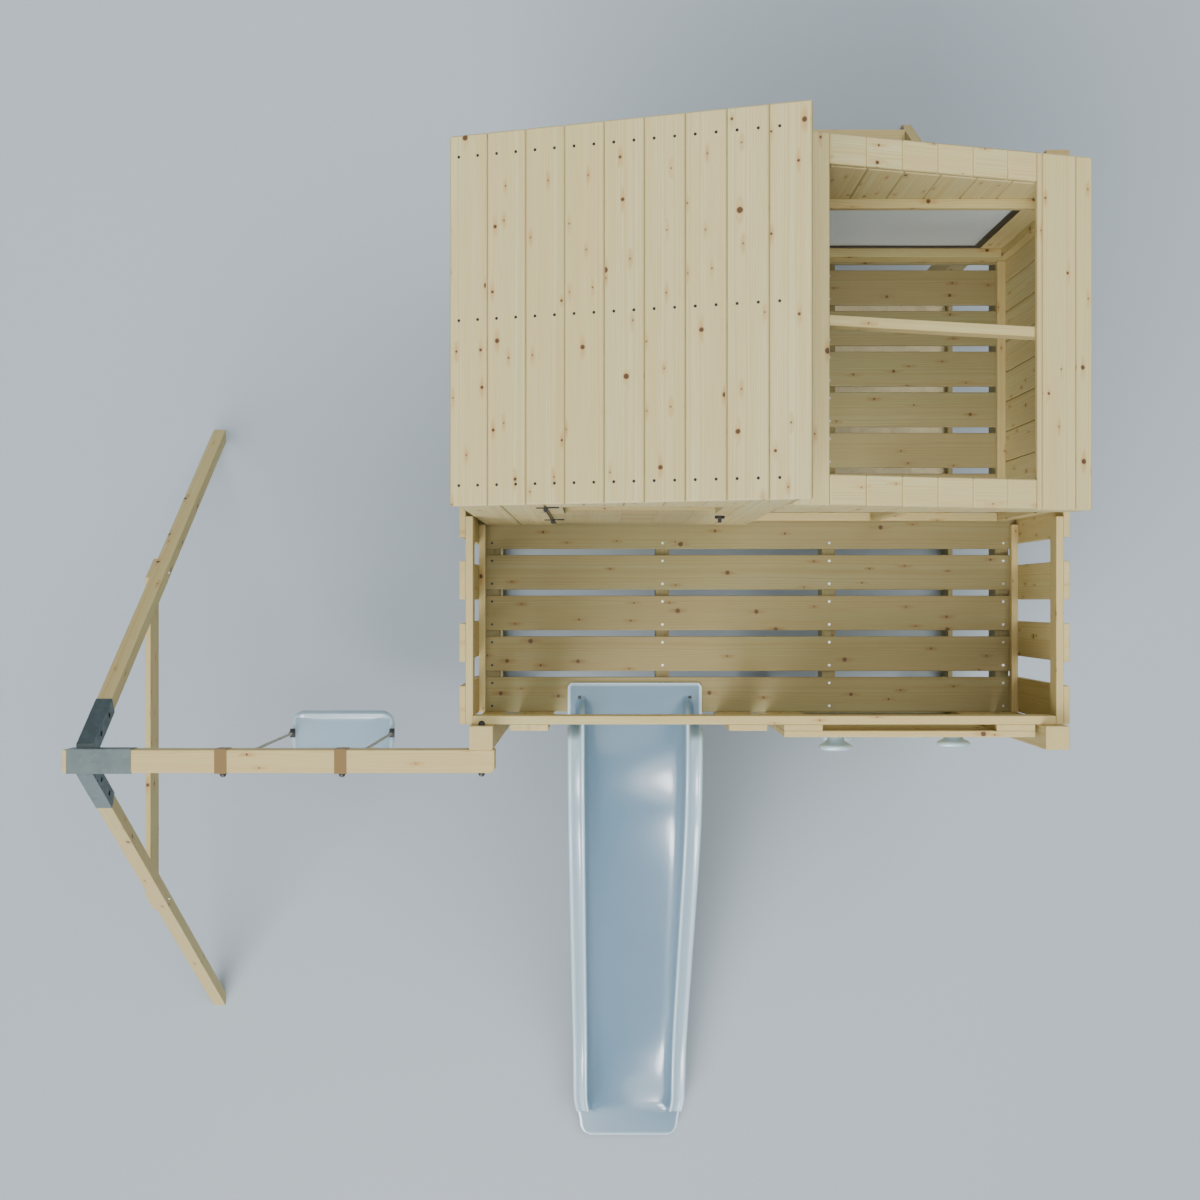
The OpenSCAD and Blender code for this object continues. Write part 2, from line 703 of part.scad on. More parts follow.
module slide() place() color(plastic) {
    half_in = slide_in / 2;
    half = slide_w / 2;
    difference() {
        translate([slide_x, 0, 0]) {
            band(-half_in - slide_t, half_in + slide_t, 0, 1, -slide_t, 0);
            bar([-half + 12, 0, deck_h], [half - 12, slide_lip, bed_z0]);
            for (s = [0, 1]) mirror([s, 0, 0]) {
                band(half_in, half_in + slide_t, side_u0, side_u1, -slide_t, slide_side);
                band(half_in, half, side_u0, side_u1, slide_side - slide_t, slide_side);
                band(half - slide_t, half, side_u0, side_u1, slide_side - 40, slide_side);
                bar([half_in, -slide_len * 0.94, 0], [half_in + slide_t, -slide_len * 0.84, slide_end_h]);
            }
        }
        for (s = [-1, 1]) translate([slide_x + s * (slide_w / 2 - 40), 48, deck_h - 1])
            cylinder(r = shank_r + 0.3, h = 12);
    }
}

module slide_screws() place() color(zinc)
    for (s = [-1, 1]) translate([slide_x + s * (slide_w / 2 - 40), 48, bed_z0]) {
        cylinder(r = 6, h = 3);
        translate([0, 0, -40]) cylinder(r = shank_r, h = 41);
    }

module climbing_boards() place() color(spruce)
    for (k = [0:climb_n - 1])
        bar([climb_x0, climb_y, climb_low + k * climb_pitch],
            [climb_x1, climb_y + picket_t, climb_low + k * climb_pitch + picket_w]);

module climbing_battens() place() color(spruce)
    for (x = batten_xs) bar([x, -picket_t, 0], [x + picket_w, 0, rail_top]);

module climbing_holds() place() color(plastic)
    for (h = hold_spots) translate([h[0], climb_y, h[1]]) rotate([90, 0, 0]) difference() {
        rotate_extrude($fn = 48) polygon([[0, 0], [hold_d * 0.42, 0], [hold_d * 0.38, 10],
            [hold_d * 0.24, 22], [hold_d * 0.22, hold_out * 0.5], [hold_d * 0.33, hold_out * 0.68],
            [hold_d * 0.5, hold_out * 0.76], [hold_d * 0.5, hold_out * 0.9], [hold_d * 0.4, hold_out],
            [0, hold_out]]);
        translate([0, 0, -1]) cylinder(r = bolt_r + 0.3, h = hold_out + 2);
    }

module hold_bolts() place() color(zinc)
    for (h = hold_spots) translate([h[0], climb_y - hold_out, h[1]]) rotate([-90, 0, 0]) {
        cylinder(r = bolt_r, h = hold_out + picket_t + 4);
        translate([0, 0, -2]) cylinder(r = 2 * bolt_r, h = 2);
        translate([0, 0, hold_out + picket_t]) cylinder(r = 1.8 * bolt_r, h = 6, $fn = 6);
    }

module swing_beam() place() color(spruce) difference() {
    bar([-beam_out, beam_y0, beam_z0], [beam_x1, beam_y1, beam_z1]);
    translate([beam_x1, beam_y0, 0]) rotate([0, 0, 45]) translate([-7, -7, beam_z0 - 1])
        cube([14, 14, beam_w + 2]);
}

bolt_x = post_xs[0] + post_w / 2;
bolt_z = beam_z0 + beam_w / 2;

module beam_bolt() place() color(zinc)
    translate([bolt_x, beam_y0 - 4, bolt_z]) rotate([-90, 0, 0])
        cylinder(r = bolt_r, h = beam_w + post_w + 8);

module bolt_caps() place() color(black) {
    translate([bolt_x, beam_y0, bolt_z]) rotate([90, 0, 0]) dome_cap();
    translate([bolt_x, 0, bolt_z]) rotate([-90, 0, 0]) dome_cap();
    for (x = hanger_xs) translate([x, beam_y0 - steel_t, bolt_z]) rotate([90, 0, 0]) dome_cap();
}

// Half of the A-frame's outline, seen along the beam, between two heights
module leg_shape(z0, z1, grow = 0) intersection() {
    translate([0, beam_z1]) rotate(leg_tilt) translate([-leg_w - grow, -2 * beam_z1 - 200])
        square([leg_w + 2 * grow, 2 * beam_z1 + 200 + 60]);
    translate([-50, z0]) square([2 * beam_z1, z1 - z0]);
}
leg_top = beam_z0 - steel_t;
leg_cut = 6;

module both_sides() for (s = [0, 1]) translate([0, beam_mid, 0]) mirror([0, s, 0]) children();

// An outline in the plane of the y and z axes, reaching from x0 by t
module across(x0, t) translate([x0, 0, 0]) rotate([90, 0, 90]) linear_extrude(t) children();

module a_frame_legs() place() color(spruce) both_sides() across(leg_x0, leg_w) difference() {
    leg_shape(0, leg_top);
    translate([-100, 0]) square([100 + leg_cut, beam_z1]);
}

// Half the length of the cross board at a height
function cross_half(z) = (beam_z1 - z) * tan(leg_tilt) - 12;

module cross_board() place() color(spruce) {
    z0 = cross_h - cross_w / 2;
    z1 = cross_h + cross_w / 2;
    across(cross_x0, picket_t) translate([beam_mid, 0])
        polygon([[-cross_half(z0), z0], [cross_half(z0), z0], [cross_half(z1), z1],
            [-cross_half(z1), z1]]);
}

// Outline of the steel on a leg, cut square to the leg at its lower end
module plate_shape() difference() {
    intersection() {
        leg_shape(0, beam_z0 - steel_t, steel_t);
        translate([0, beam_z1]) rotate(leg_tilt) translate([-2 * leg_w, -bracket_h / cos(leg_tilt)])
            square([4 * leg_w, 3 * bracket_h]);
    }
    translate([-100, 0]) square([100 + leg_cut, beam_z1]);
}

// Sheet steel sleeve over the beam's end, with a plate on each leg's upper face and on its inner side
module a_frame_bracket() place() color(steel) {
    difference() {
        bar([leg_x0 - 8, beam_y0 - steel_t, beam_z0 - steel_t],
            [leg_x0 - 8 + sleeve_len, beam_y1 + steel_t, beam_z1 + steel_t]);
        bar([-beam_out, beam_y0, beam_z0], [leg_x0 + sleeve_len, beam_y1, beam_z1]);
    }
    both_sides() {
        across(leg_x0 + leg_w, steel_t) plate_shape();
        across(leg_x0, leg_w + steel_t) difference() {
            plate_shape();
            leg_shape(0, beam_z1);
        }
        across(leg_x0, leg_w + steel_t) translate([beam_w / 2, beam_z0 - steel_t])
            square([(beam_w + steel_t) * tan(leg_tilt) + steel_t / cos(leg_tilt) - beam_w / 2, steel_t]);
    }
}

module bracket_bolts() place() color(zinc) {
    both_sides() for (z = [beam_z1 - bracket_h + 30, beam_z1 - bracket_h + 110]) {
        y = (beam_z1 - z) * tan(leg_tilt) - leg_w / 2 / cos(leg_tilt);
        translate([leg_x0 + 20, y, z]) rotate([0, 90, 0]) {
            cylinder(r = 4, h = leg_w - 20);
            translate([0, 0, leg_w - 20]) cylinder(r1 = 4, r2 = 8, h = steel_t);
        }
    }
    both_sides() {
        y = (beam_z1 - cross_h) * tan(leg_tilt) - leg_w / 2 / cos(leg_tilt);
        translate([cross_x0, y, cross_h]) rotate([0, 90, 0]) cylinder(r = 4, h = picket_t + leg_w + 5);
    }
}

module hanger_straps() place() color([0.62, 0.50, 0.35])
    for (x = hanger_xs) difference() {
        bar([x - strap_w / 2, beam_y0 - steel_t, beam_z0 - steel_t],
            [x + strap_w / 2, beam_y1 + steel_t, beam_z1 + steel_t]);
        bar([x - strap_w, beam_y0, beam_z0], [x + strap_w, beam_y1, beam_z1]);
    }

module hanger_lugs() place() color(steel)
    for (x = hanger_xs) difference() {
        union() {
            bar([x - lug_t / 2, hang_y - 14, pivot_z], [x + lug_t / 2, hang_y + 14, lug_z]);
            translate([x - lug_t / 2, hang_y, pivot_z]) rotate([0, 90, 0]) cylinder(r = 14, h = lug_t);
        }
        translate([x - lug_t, hang_y, pivot_z]) rotate([0, 90, 0])
            cylinder(r = pin_r + pin_clear, h = 2 * lug_t);
    }

module swing_shackles() place() color(steel)
    for (x = hanger_xs) {
        out = lug_t / 2 + shackle_gap;
        for (s = [-1, 1]) translate([x + s * (out + 2) - 2, hang_y, 0]) {
            translate([0, 0, pivot_z]) rotate([0, 90, 0]) cylinder(r = 9, h = 4);
            bar([0, -9, pivot_z - 32], [4, 9, pivot_z]);
        }
        bar([x - out - 4, hang_y - 9, pivot_z - 32], [x + out + 4, hang_y + 9, pivot_z - 20]);
        translate([x - out - 6, hang_y, pivot_z]) rotate([0, 90, 0]) cylinder(r = pin_r, h = 2 * out + 12);
    }

// Each rope runs straight from its shackle down to its clip
function rope_foot(k) = seat_mid + (k == 0 ? -1 : 1) * rope_span / 2;

module swing_ropes() place() color([0.72, 0.72, 0.68])
    for (k = [0, 1]) {
        dx = rope_foot(k) - hanger_xs[k];
        dz = rope_top + 3 - (rope_low - 5);
        translate([rope_foot(k), hang_y, rope_low - 5]) rotate([0, atan2(-dx, dz), 0])
            cylinder(r = rope_d / 2, h = sqrt(dx * dx + dz * dz), $fn = 24);
    }

module seat_clips() place() color(black)
    for (k = [0, 1]) translate([rope_foot(k), hang_y, seat_h]) {
        bar([-9, -16, 0], [9, 16, 12]);
        cylinder(r = 9, h = clip_h);
    }

module swing_seat() place() color(plastic) {
    r = seat_corner;
    translate([seat_mid, hang_y, seat_h - seat_t]) linear_extrude(seat_t) {
        square([seat_len - 2 * r, seat_w], center = true);
        square([seat_len, seat_w - 2 * r], center = true);
        for (x = [-1, 1], y = [-1, 1]) translate([x * (seat_len / 2 - r), y * (seat_w / 2 - r)]) circle(r);
    }
}

// Outline of a ladder side: it leans on the rim board and stands flat on the ground
module stringer_shape() {
    w = stringer_w / sin(ladder_tilt);
    top_y = ladder_y0;
    polygon([[ladder_foot - w, 0], [ladder_foot, 0], [top_y, deck_h],
        [top_y, deck_h - w * tan(ladder_tilt)]]);
}

module ladder_sides() place() color(spruce)
    for (x = [ladder_x0, ladder_x1 - stringer_t]) across(x, stringer_t) stringer_shape();

module ladder_treads() place() color(spruce)
    for (k = [0:tread_n - 1]) {
        z = 60 + k * (deck_h - 60) / tread_n;
        y = ladder_foot - z / tan(ladder_tilt) - 10;
        bar([ladder_x0 + stringer_t, y - tread_d, z], [ladder_x1 - stringer_t, y, z + tread_t]);
    }

posts();
deck_joists();
deck_bearers();
deck_rim();
deck_boards();
deck_screws();
joist_screws();
base_boards();
sandpit_boards();
side_top_rails();
side_low_rails();
front_rail();
side_railing_boards();
front_railing_boards();
railing_screws();
wall_left();
wall_right();
wall_back();
wall_front();
front_gable();
wall_battens();
front_frame();
door_post();
window_pane();
window_trim();
roof_left();
roof_right();
roof_rafters();
rafter_struts();
clerestory();
roof_screws();
door_boards();
door_frame();
door_straps();
hinge_rod();
latch_knob();
latch_tongue();
slide();
slide_screws();
climbing_boards();
climbing_battens();
climbing_holds();
hold_bolts();
swing_beam();
beam_bolt();
bolt_caps();
a_frame_legs();
cross_board();
a_frame_bracket();
bracket_bolts();
hanger_straps();
hanger_lugs();
swing_shackles();
swing_ropes();
seat_clips();
swing_seat();
ladder_sides();
ladder_treads();
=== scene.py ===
"""A wooden play tower: playhouse, veranda, slide, climbing wall, ladder and a swing on a braced beam."""
import json
import math
import random

import bmesh
import bpy
from mathutils import Matrix, Vector, noise


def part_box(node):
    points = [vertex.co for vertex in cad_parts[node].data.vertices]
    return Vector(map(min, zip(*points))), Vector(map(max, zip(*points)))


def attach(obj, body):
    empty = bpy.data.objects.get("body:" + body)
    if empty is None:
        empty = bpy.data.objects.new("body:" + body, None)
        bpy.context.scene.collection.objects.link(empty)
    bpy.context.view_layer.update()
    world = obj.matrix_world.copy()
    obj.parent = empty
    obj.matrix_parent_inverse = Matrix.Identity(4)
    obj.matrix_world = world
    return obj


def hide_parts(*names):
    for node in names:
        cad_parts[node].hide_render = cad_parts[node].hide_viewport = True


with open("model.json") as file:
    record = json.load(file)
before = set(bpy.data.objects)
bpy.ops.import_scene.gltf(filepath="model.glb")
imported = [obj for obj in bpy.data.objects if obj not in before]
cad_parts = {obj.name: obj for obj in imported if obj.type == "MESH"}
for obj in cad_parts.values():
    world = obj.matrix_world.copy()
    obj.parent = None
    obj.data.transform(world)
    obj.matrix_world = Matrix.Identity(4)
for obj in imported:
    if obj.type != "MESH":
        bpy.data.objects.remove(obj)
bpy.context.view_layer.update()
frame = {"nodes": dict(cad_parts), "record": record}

bl_info = {
    "name": "Wooden play tower",
    "version": (1, 0, 0),
    "blender": (4, 5, 0),
    "location": "3D View > Sidebar > Play tower",
    "description": "Finishes a wooden play tower round its frame",
    "category": "Add Mesh",
}

# Which wood each timber node is cut from
TIMBER = {
    "planed": ["posts", "side_top_rails", "side_low_rails", "front_rail", "side_railing_boards",
               "front_railing_boards", "wall_battens", "front_frame", "door_post", "roof_rafters",
               "rafter_struts", "climbing_boards", "climbing_battens", "swing_beam", "a_frame_legs",
               "cross_board", "ladder_sides", "ladder_treads"],
    "lining": ["wall_left", "wall_right", "wall_back", "wall_front", "front_gable", "roof_left",
               "roof_right", "clerestory"],
    "deck": ["deck_joists", "deck_bearers", "deck_rim", "deck_boards", "base_boards", "sandpit_boards"],
}
WOOD_SLOTS = {"planed": "spruce", "lining": "tongued_spruce", "deck": "deck_spruce"}


# ---------------------------------------------------------------- sizes and colours

class TowerSizes(bpy.types.PropertyGroup):
    """Sizes of the finishing work"""
    edge: bpy.props.FloatProperty(
        name="Edge rounding", description="Rounding on the edges of sawn timber",
        default=0.0025, min=0.0005, max=0.004, unit="LENGTH", subtype="DISTANCE")
    plastic_wall: bpy.props.FloatProperty(
        name="Slide wall", description="Thickness of the slide's plastic",
        default=0.006, min=0.003, max=0.008, unit="LENGTH", subtype="DISTANCE")
    rim_height: bpy.props.FloatProperty(
        name="Slide rim height", description="Height of the slide's rolled rims above the sliding surface",
        default=0.105, min=0.08, max=0.105, unit="LENGTH", subtype="DISTANCE")
    groove: bpy.props.FloatProperty(
        name="Groove", description="Chamfer on the long edges of the wall and roof boards",
        default=0.0035, min=0.001, max=0.005, unit="LENGTH", subtype="DISTANCE")
    rope_lay: bpy.props.FloatProperty(
        name="Rope lay", description="Length of one turn of a rope's strands",
        default=0.036, min=0.02, max=0.06, unit="LENGTH", subtype="DISTANCE")
    camera_height: bpy.props.FloatProperty(
        name="Camera height", description="Height of the camera above the ground",
        default=6.73, min=4.0, max=12.0, unit="LENGTH", subtype="DISTANCE")


class TowerColours(bpy.types.PropertyGroup):
    """Colours of the materials"""
    planed: bpy.props.FloatVectorProperty(
        name="Planed spruce", description="Colour of the rails, posts and boards",
        default=(0.62, 0.545, 0.275), size=3, min=0, max=1, subtype="COLOR")
    lining: bpy.props.FloatVectorProperty(
        name="Lining boards", description="Colour of the walls and the roof",
        default=(0.67, 0.615, 0.340), size=3, min=0, max=1, subtype="COLOR")
    # Deck boards are coloured darker than the other spruce: partly the wood's tone, partly painted shade for
    # the covered deck and the parts under it
    deck: bpy.props.FloatVectorProperty(
        name="Deck boards", description="Colour of the deck and its joists",
        default=(0.325, 0.296, 0.148), size=3, min=0, max=1, subtype="COLOR")
    plastic: bpy.props.FloatVectorProperty(
        name="Plastic", description="Colour of the slide, the seat and the holds",
        default=(0.135, 0.242, 0.348), size=3, min=0, max=1, subtype="COLOR")
    rope: bpy.props.FloatVectorProperty(
        name="Rope", description="Colour of the swing's ropes",
        default=(0.55, 0.55, 0.50), size=3, min=0, max=1, subtype="COLOR")
    webbing: bpy.props.FloatVectorProperty(
        name="Webbing", description="Colour of the hangers' straps",
        default=(0.29, 0.18, 0.058), size=3, min=0, max=1, subtype="COLOR")
    sand: bpy.props.FloatVectorProperty(
        name="Sand", description="Colour of the sand under the playhouse",
        default=(0.80, 0.70, 0.44), size=3, min=0, max=1, subtype="COLOR")
    floor: bpy.props.FloatVectorProperty(
        name="Floor", description="Colour of the stage's floor",
        default=(0.37, 0.44, 0.51), size=3, min=0, max=1, subtype="COLOR")


def sizes():
    return bpy.context.scene.tower_sizes


def colours():
    return bpy.context.scene.tower_colours


# ---------------------------------------------------------------- shader maths

class Value:
    """A number in a material's node tree, on which Python's arithmetic adds Math nodes"""

    def __init__(self, finish, socket):
        self.finish = finish
        self.socket = socket

    def math(self, operation, *others):
        inputs = {0: self}
        inputs.update({k + 1: other for k, other in enumerate(others)})
        made = self.finish.node("ShaderNodeMath", {"operation": operation}, inputs)
        return Value(self.finish, made.outputs[0])

    def flipped(self, operation, other):
        made = self.finish.node("ShaderNodeMath", {"operation": operation}, {0: other, 1: self})
        return Value(self.finish, made.outputs[0])

    def __add__(self, other):
        return self.math("ADD", other)

    def __radd__(self, other):
        return self.flipped("ADD", other)

    def __sub__(self, other):
        return self.math("SUBTRACT", other)

    def __rsub__(self, other):
        return self.flipped("SUBTRACT", other)

    def __mul__(self, other):
        return self.math("MULTIPLY", other)

    def __rmul__(self, other):
        return self.flipped("MULTIPLY", other)

    def __pow__(self, other):
        return self.math("POWER", other)

    def above(self, low, high):
        """0 below low and 1 above high, with a smooth step between them"""
        made = self.finish.node(
            "ShaderNodeMapRange", {"interpolation_type": "SMOOTHSTEP"},
            {"Value": self, "From Min": low, "From Max": high, "To Min": 0.0, "To Max": 1.0})
        return Value(self.finish, made.outputs["Result"])


class Finish:
    """A material that is built from nodes"""

    def __init__(self, name):
        self.material = bpy.data.materials.new(name)
        self.material.use_nodes = True
        self.tree = self.material.node_tree
        self.tree.nodes.clear()

    def node(self, kind, settings=None, inputs=None):
        """Adds a node: its settings first, then the values or links of its sockets"""
        made = self.tree.nodes.new(kind)
        for key, value in (settings or {}).items():
            setattr(made, key, value)
        for key, value in (inputs or {}).items():
            socket = value.socket if isinstance(value, Value) else value
            if isinstance(socket, bpy.types.NodeSocket):
                self.tree.links.new(socket, made.inputs[key])
            else:
                made.inputs[key].default_value = socket
        return made

    def number(self, kind, output, settings=None, inputs=None):
        return Value(self, self.node(kind, settings, inputs).outputs[output])

    def attribute(self, name, output):
        return self.node("ShaderNodeAttribute", {"attribute_name": name}).outputs[output]

    def place(self):
        """The point on the object, in metres"""
        return self.node("ShaderNodeTexCoord").outputs["Object"]

    def scaled(self, vector, scale):
        return self.node("ShaderNodeMapping", {"vector_type": "POINT"},
                         {"Vector": vector, "Scale": scale}).outputs[0]

    def noise(self, vector, scale, detail=2.0, rough=0.5):
        return self.number("ShaderNodeTexNoise", "Fac", {}, {
            "Vector": vector, "Scale": scale, "Detail": detail, "Roughness": rough})

    def parts(self, vector):
        made = self.node("ShaderNodeSeparateXYZ", {}, {0: vector})
        return [Value(self, made.outputs[k]) for k in range(3)]

    def mix(self, factor, first, second, blend="MIX"):
        """Mixes two colours"""
        made = self.node("ShaderNodeMix", {"data_type": "RGBA", "blend_type": blend}, {
            0: factor, 6: first, 7: second})
        return made.outputs[2]

    def bump(self, height, depth, strength=1.0):
        return self.node("ShaderNodeBump", {}, {
            "Height": height, "Distance": depth, "Strength": strength}).outputs[0]

    def close(self, **inputs):
        """Ends the material in one shader whose sockets are named with underscores"""
        named = {key.replace("_", " "): value for key, value in inputs.items()}
        shader = self.node("ShaderNodeBsdfPrincipled", {}, named)
        self.node("ShaderNodeOutputMaterial", {}, {"Surface": shader.outputs[0]})
        return self.material


def rgba(colour, gain=1.0):
    return (min(colour[0] * gain, 1), min(colour[1] * gain, 1), min(colour[2] * gain, 1), 1)


def spruce(name, colour, groove_shade=0.0):
    """Planed softwood: growth rings about a pith that lies off the board, fibres, knots, and painted shade on
    the boards' flanks in the grooves between them
    """
    f = Finish(name)
    grain = f.attribute("grain", "Vector")
    tone = Value(f, f.attribute("tone", "Fac"))
    flank = Value(f, f.attribute("flank", "Fac"))
    along, across, deep = f.parts(grain)
    tint = (tone * 7.31).math("FRACT")

    # A knot lies at a random place in each cell of a stretched grid on each face of the board
    cell_long = 0.16
    cell_wide = 0.060
    lateral = across + (deep - across) * flank
    on_face = f.node("ShaderNodeCombineXYZ", {}, {0: along, 1: lateral}).outputs[0]
    cells = f.node("ShaderNodeTexVoronoi", {"feature": "F1", "voronoi_dimensions": "2D"}, {
        "Vector": f.scaled(on_face, (1 / cell_long, 1 / cell_wide, 1.0)), "Scale": 1.0})
    knot_x, knot_y, _ = f.parts(cells.outputs["Position"])
    chance, girth, redness = f.parts(cells.outputs["Color"])
    off_x = along - knot_x * cell_long
    off_y = lateral - knot_y * cell_wide
    wobble = f.noise(f.scaled(grain, (110.0, 110.0, 60.0)), 1.0, 2.0) * 0.0024
    to_knot = (off_x * off_x + off_y * off_y) ** 0.5 + wobble
    to_streak = (off_x * off_x * 0.07 + off_y * off_y) ** 0.5
    share_without_knot = 0.42
    least_knot = 0.0020
    knot_range = 0.0060
    chosen = chance.above(share_without_knot, share_without_knot + 0.02)
    knot_size = least_knot + knot_range * girth ** 3
    knot = chosen * (1 - (to_knot - knot_size).above(0.0, 0.0016))
    ring = chosen * (1 - (to_knot - knot_size).above(0.0006, 0.0040))
    streak = chosen * (1 - (to_streak - knot_size * 0.5).above(0.0, 0.0085))

    # The rings run round a pith below the board and bend about its knots
    ring_pitch = 0.0042
    pith_depth = 0.035
    warp = f.noise(f.scaled(grain, (1.6, 9.0, 9.0)), 1.0, 2.0)
    side = across + (tint - 0.5) * 0.12 + (warp - 0.5) * 0.018
    depth = deep + pith_depth + tone * 0.04
    radius = (side * side + depth * depth) ** 0.5 + streak * 0.004
    rings = (radius * (2 * math.pi / ring_pitch)).math("SINE") * 0.5 + 0.5
    late = rings ** 2.2
    fibre = f.noise(f.scaled(grain, (9.0, 420.0, 420.0)), 1.0, 3.0, 0.6)
    band = f.noise(f.scaled(grain, (0.9, 38.0, 38.0)), 1.0, 2.0)
    cloud = f.noise(f.scaled(grain, (1.4, 11.0, 11.0)), 1.0, 3.0)

    def hue(red, green, blue):
        return rgba((colour[0] * red, colour[1] * green, colour[2] * blue))

    board = f.mix(tone, hue(1.09, 1.10, 1.14), hue(0.91, 0.90, 0.86))
    warm = f.mix((tint - 0.5).math("ABSOLUTE") * 1.6, board, hue(1.05, 0.93, 0.84))
    green = f.mix(cloud.above(0.38, 0.66) * 0.75, warm, hue(0.93, 1.02, 0.95))
    banded = f.mix(band.above(0.32, 0.68) * 0.72, green, hue(0.98, 0.87, 0.74))
    ringed = f.mix(late * 0.46, banded, hue(0.80, 0.68, 0.50))
    streaked = f.mix(fibre.above(0.30, 0.80) * 0.34, ringed, hue(0.70, 0.60, 0.50))
    flamed = f.mix(streak * (0.28 + redness * 0.40), streaked, hue(0.72, 0.44, 0.27))
    ringed_knot = f.mix(ring * 0.75, flamed, hue(0.52, 0.32, 0.20))
    knotted = f.mix(knot * 0.92, ringed_knot, rgba((0.085, 0.042, 0.020)))
    # Painted shade: the boards' flanks, down in the grooves between them, are darkened by this share
    base = f.mix(flank * groove_shade, knotted, hue(0.42, 0.36, 0.28))
    height = late * 0.35 + fibre * 0.5 - knot * 0.7
    return f.close(Base_Color=base, Roughness=0.55 + fibre * 0.2 - knot * 0.15, Specular_IOR_Level=0.35,
                   Normal=f.bump(height, 0.0004, 0.6))


def moulded_plastic(name, colour):
    """Glossy moulded polyethylene with a painted highlight, paler towards its rims and thin edges, and faint
    scuffs
    """
    f = Finish(name)
    at = f.place()
    rim_highlight = Value(f, f.attribute("rim_highlight", "Fac"))
    flow = f.noise(f.scaled(at, (2.5, 1.2, 2.5)), 1.0, 3.0)
    scuff = f.noise(f.scaled(at, (160.0, 9.0, 60.0)), 1.0, 4.0, 0.7)
    peel = f.noise(at, 55.0, 2.0)
    base = f.mix(flow.above(0.3, 0.7) * 0.5, rgba(colour), rgba(colour, 1.10))
    # Painted highlight: where the attribute is high the colour is mixed towards a pale blue, standing for the
    # sheen that rims and edges catch
    highlighted = f.mix(rim_highlight, base, rgba((0.58, 0.78, 0.90)))
    worn = f.mix(scuff.above(0.66, 0.90) * 0.08, highlighted, rgba((0.66, 0.74, 0.80)))
    return f.close(Base_Color=worn, Roughness=0.26 + 0.08 * scuff, Subsurface_Weight=0.10,
                   Subsurface_Radius=(0.02, 0.025, 0.03), Coat_Weight=0.35, Coat_Roughness=0.17,
                   Specular_IOR_Level=0.35,
                   Normal=f.bump(peel * 0.5 + scuff * 0.2, 0.0005, 0.4))


def dull_plastic(name):
    """Black moulded plastic with a fine grain"""
    f = Finish(name)
    pit = f.noise(f.place(), 900.0, 2.0)
    dust = f.noise(f.place(), 40.0, 3.0)
    base = f.mix(dust.above(0.55, 0.85) * 0.3, rgba((0.018, 0.018, 0.02)), rgba((0.07, 0.07, 0.07)))
    return f.close(Base_Color=base, Roughness=0.42 + dust * 0.2, Normal=f.bump(pit, 0.0003, 0.4))


def coated_iron(name):
    """Black powder coat with small bare places"""
    f = Finish(name)
    peel = f.noise(f.place(), 600.0, 2.0)
    worn = f.noise(f.place(), 90.0, 4.0, 0.7).above(0.70, 0.78)
    base = f.mix(worn, rgba((0.014, 0.014, 0.016)), rgba((0.18, 0.16, 0.15)))
    return f.close(Base_Color=base, Metallic=worn * 0.8, Roughness=0.48 - worn * 0.1,
                   Normal=f.bump(peel - worn * 0.5, 0.0003, 0.5))


def plated_steel(name, colour, rough, spangle):
    """Zinc on steel, whose crystals show as patches"""
    f = Finish(name)
    at = f.place()
    cells = f.node("ShaderNodeTexVoronoi", {"feature": "F1"}, {"Vector": at, "Scale": spangle})
    patch = f.parts(cells.outputs["Color"])[0]
    stain = f.noise(at, 14.0, 4.0, 0.6)
    base = f.mix(patch * 0.5, rgba(colour), rgba(colour, 0.72))
    dulled = f.mix(stain.above(0.5, 0.8) * 0.4, base, rgba(colour, 0.55))
    return f.close(Base_Color=dulled, Metallic=0.85, Roughness=rough + patch * 0.12 + stain * 0.08,
                   Normal=f.bump(f.noise(at, 350.0, 2.0), 0.0002, 0.4))


def woven_webbing(name, colour):
    """Brown strap with ribs across it"""
    f = Finish(name)
    rib_pitch = 0.0022
    cord_pitch = 0.0030
    x, y, z = f.parts(f.place())
    ribs = ((y + z) * (2 * math.pi / rib_pitch)).math("SINE") * 0.5 + 0.5
    cords = (x * (2 * math.pi / cord_pitch)).math("SINE") * 0.5 + 0.5
    fuzz = f.noise(f.place(), 900.0, 3.0)
    weave = ribs * 0.6 + cords * 0.4
    base = f.mix(weave * 0.6 + fuzz * 0.3, rgba(colour, 0.55), rgba(colour, 1.25))
    return f.close(Base_Color=base, Roughness=0.82, Sheen_Weight=0.3, Normal=f.bump(weave, 0.0008, 0.9))


def laid_rope(name, colour):
    """Pale fibres of a laid rope"""
    f = Finish(name)
    at = f.place()
    fuzz = f.noise(f.scaled(at, (900.0, 900.0, 220.0)), 1.0, 3.0, 0.65)
    dirt = f.noise(at, 12.0, 3.0)
    base = f.mix(fuzz * 0.6, rgba(colour, 0.75), rgba(colour, 1.25))
    soiled = f.mix(dirt.above(0.5, 0.8) * 0.35, base, rgba((0.30, 0.28, 0.22)))
    return f.close(Base_Color=soiled, Roughness=0.8, Normal=f.bump(fuzz, 0.0006, 0.8))


def frosted_acrylic(name):
    """Whitish translucent sheet"""
    f = Finish(name)
    haze = f.noise(f.place(), 6.0, 3.0)
    base = f.mix(haze * 0.5, rgba((0.86, 0.93, 0.97)), rgba((0.95, 0.98, 1.0)))
    return f.close(Base_Color=base, Roughness=0.4 + haze * 0.15, Transmission_Weight=0.6, IOR=1.49,
                   Alpha=0.93)


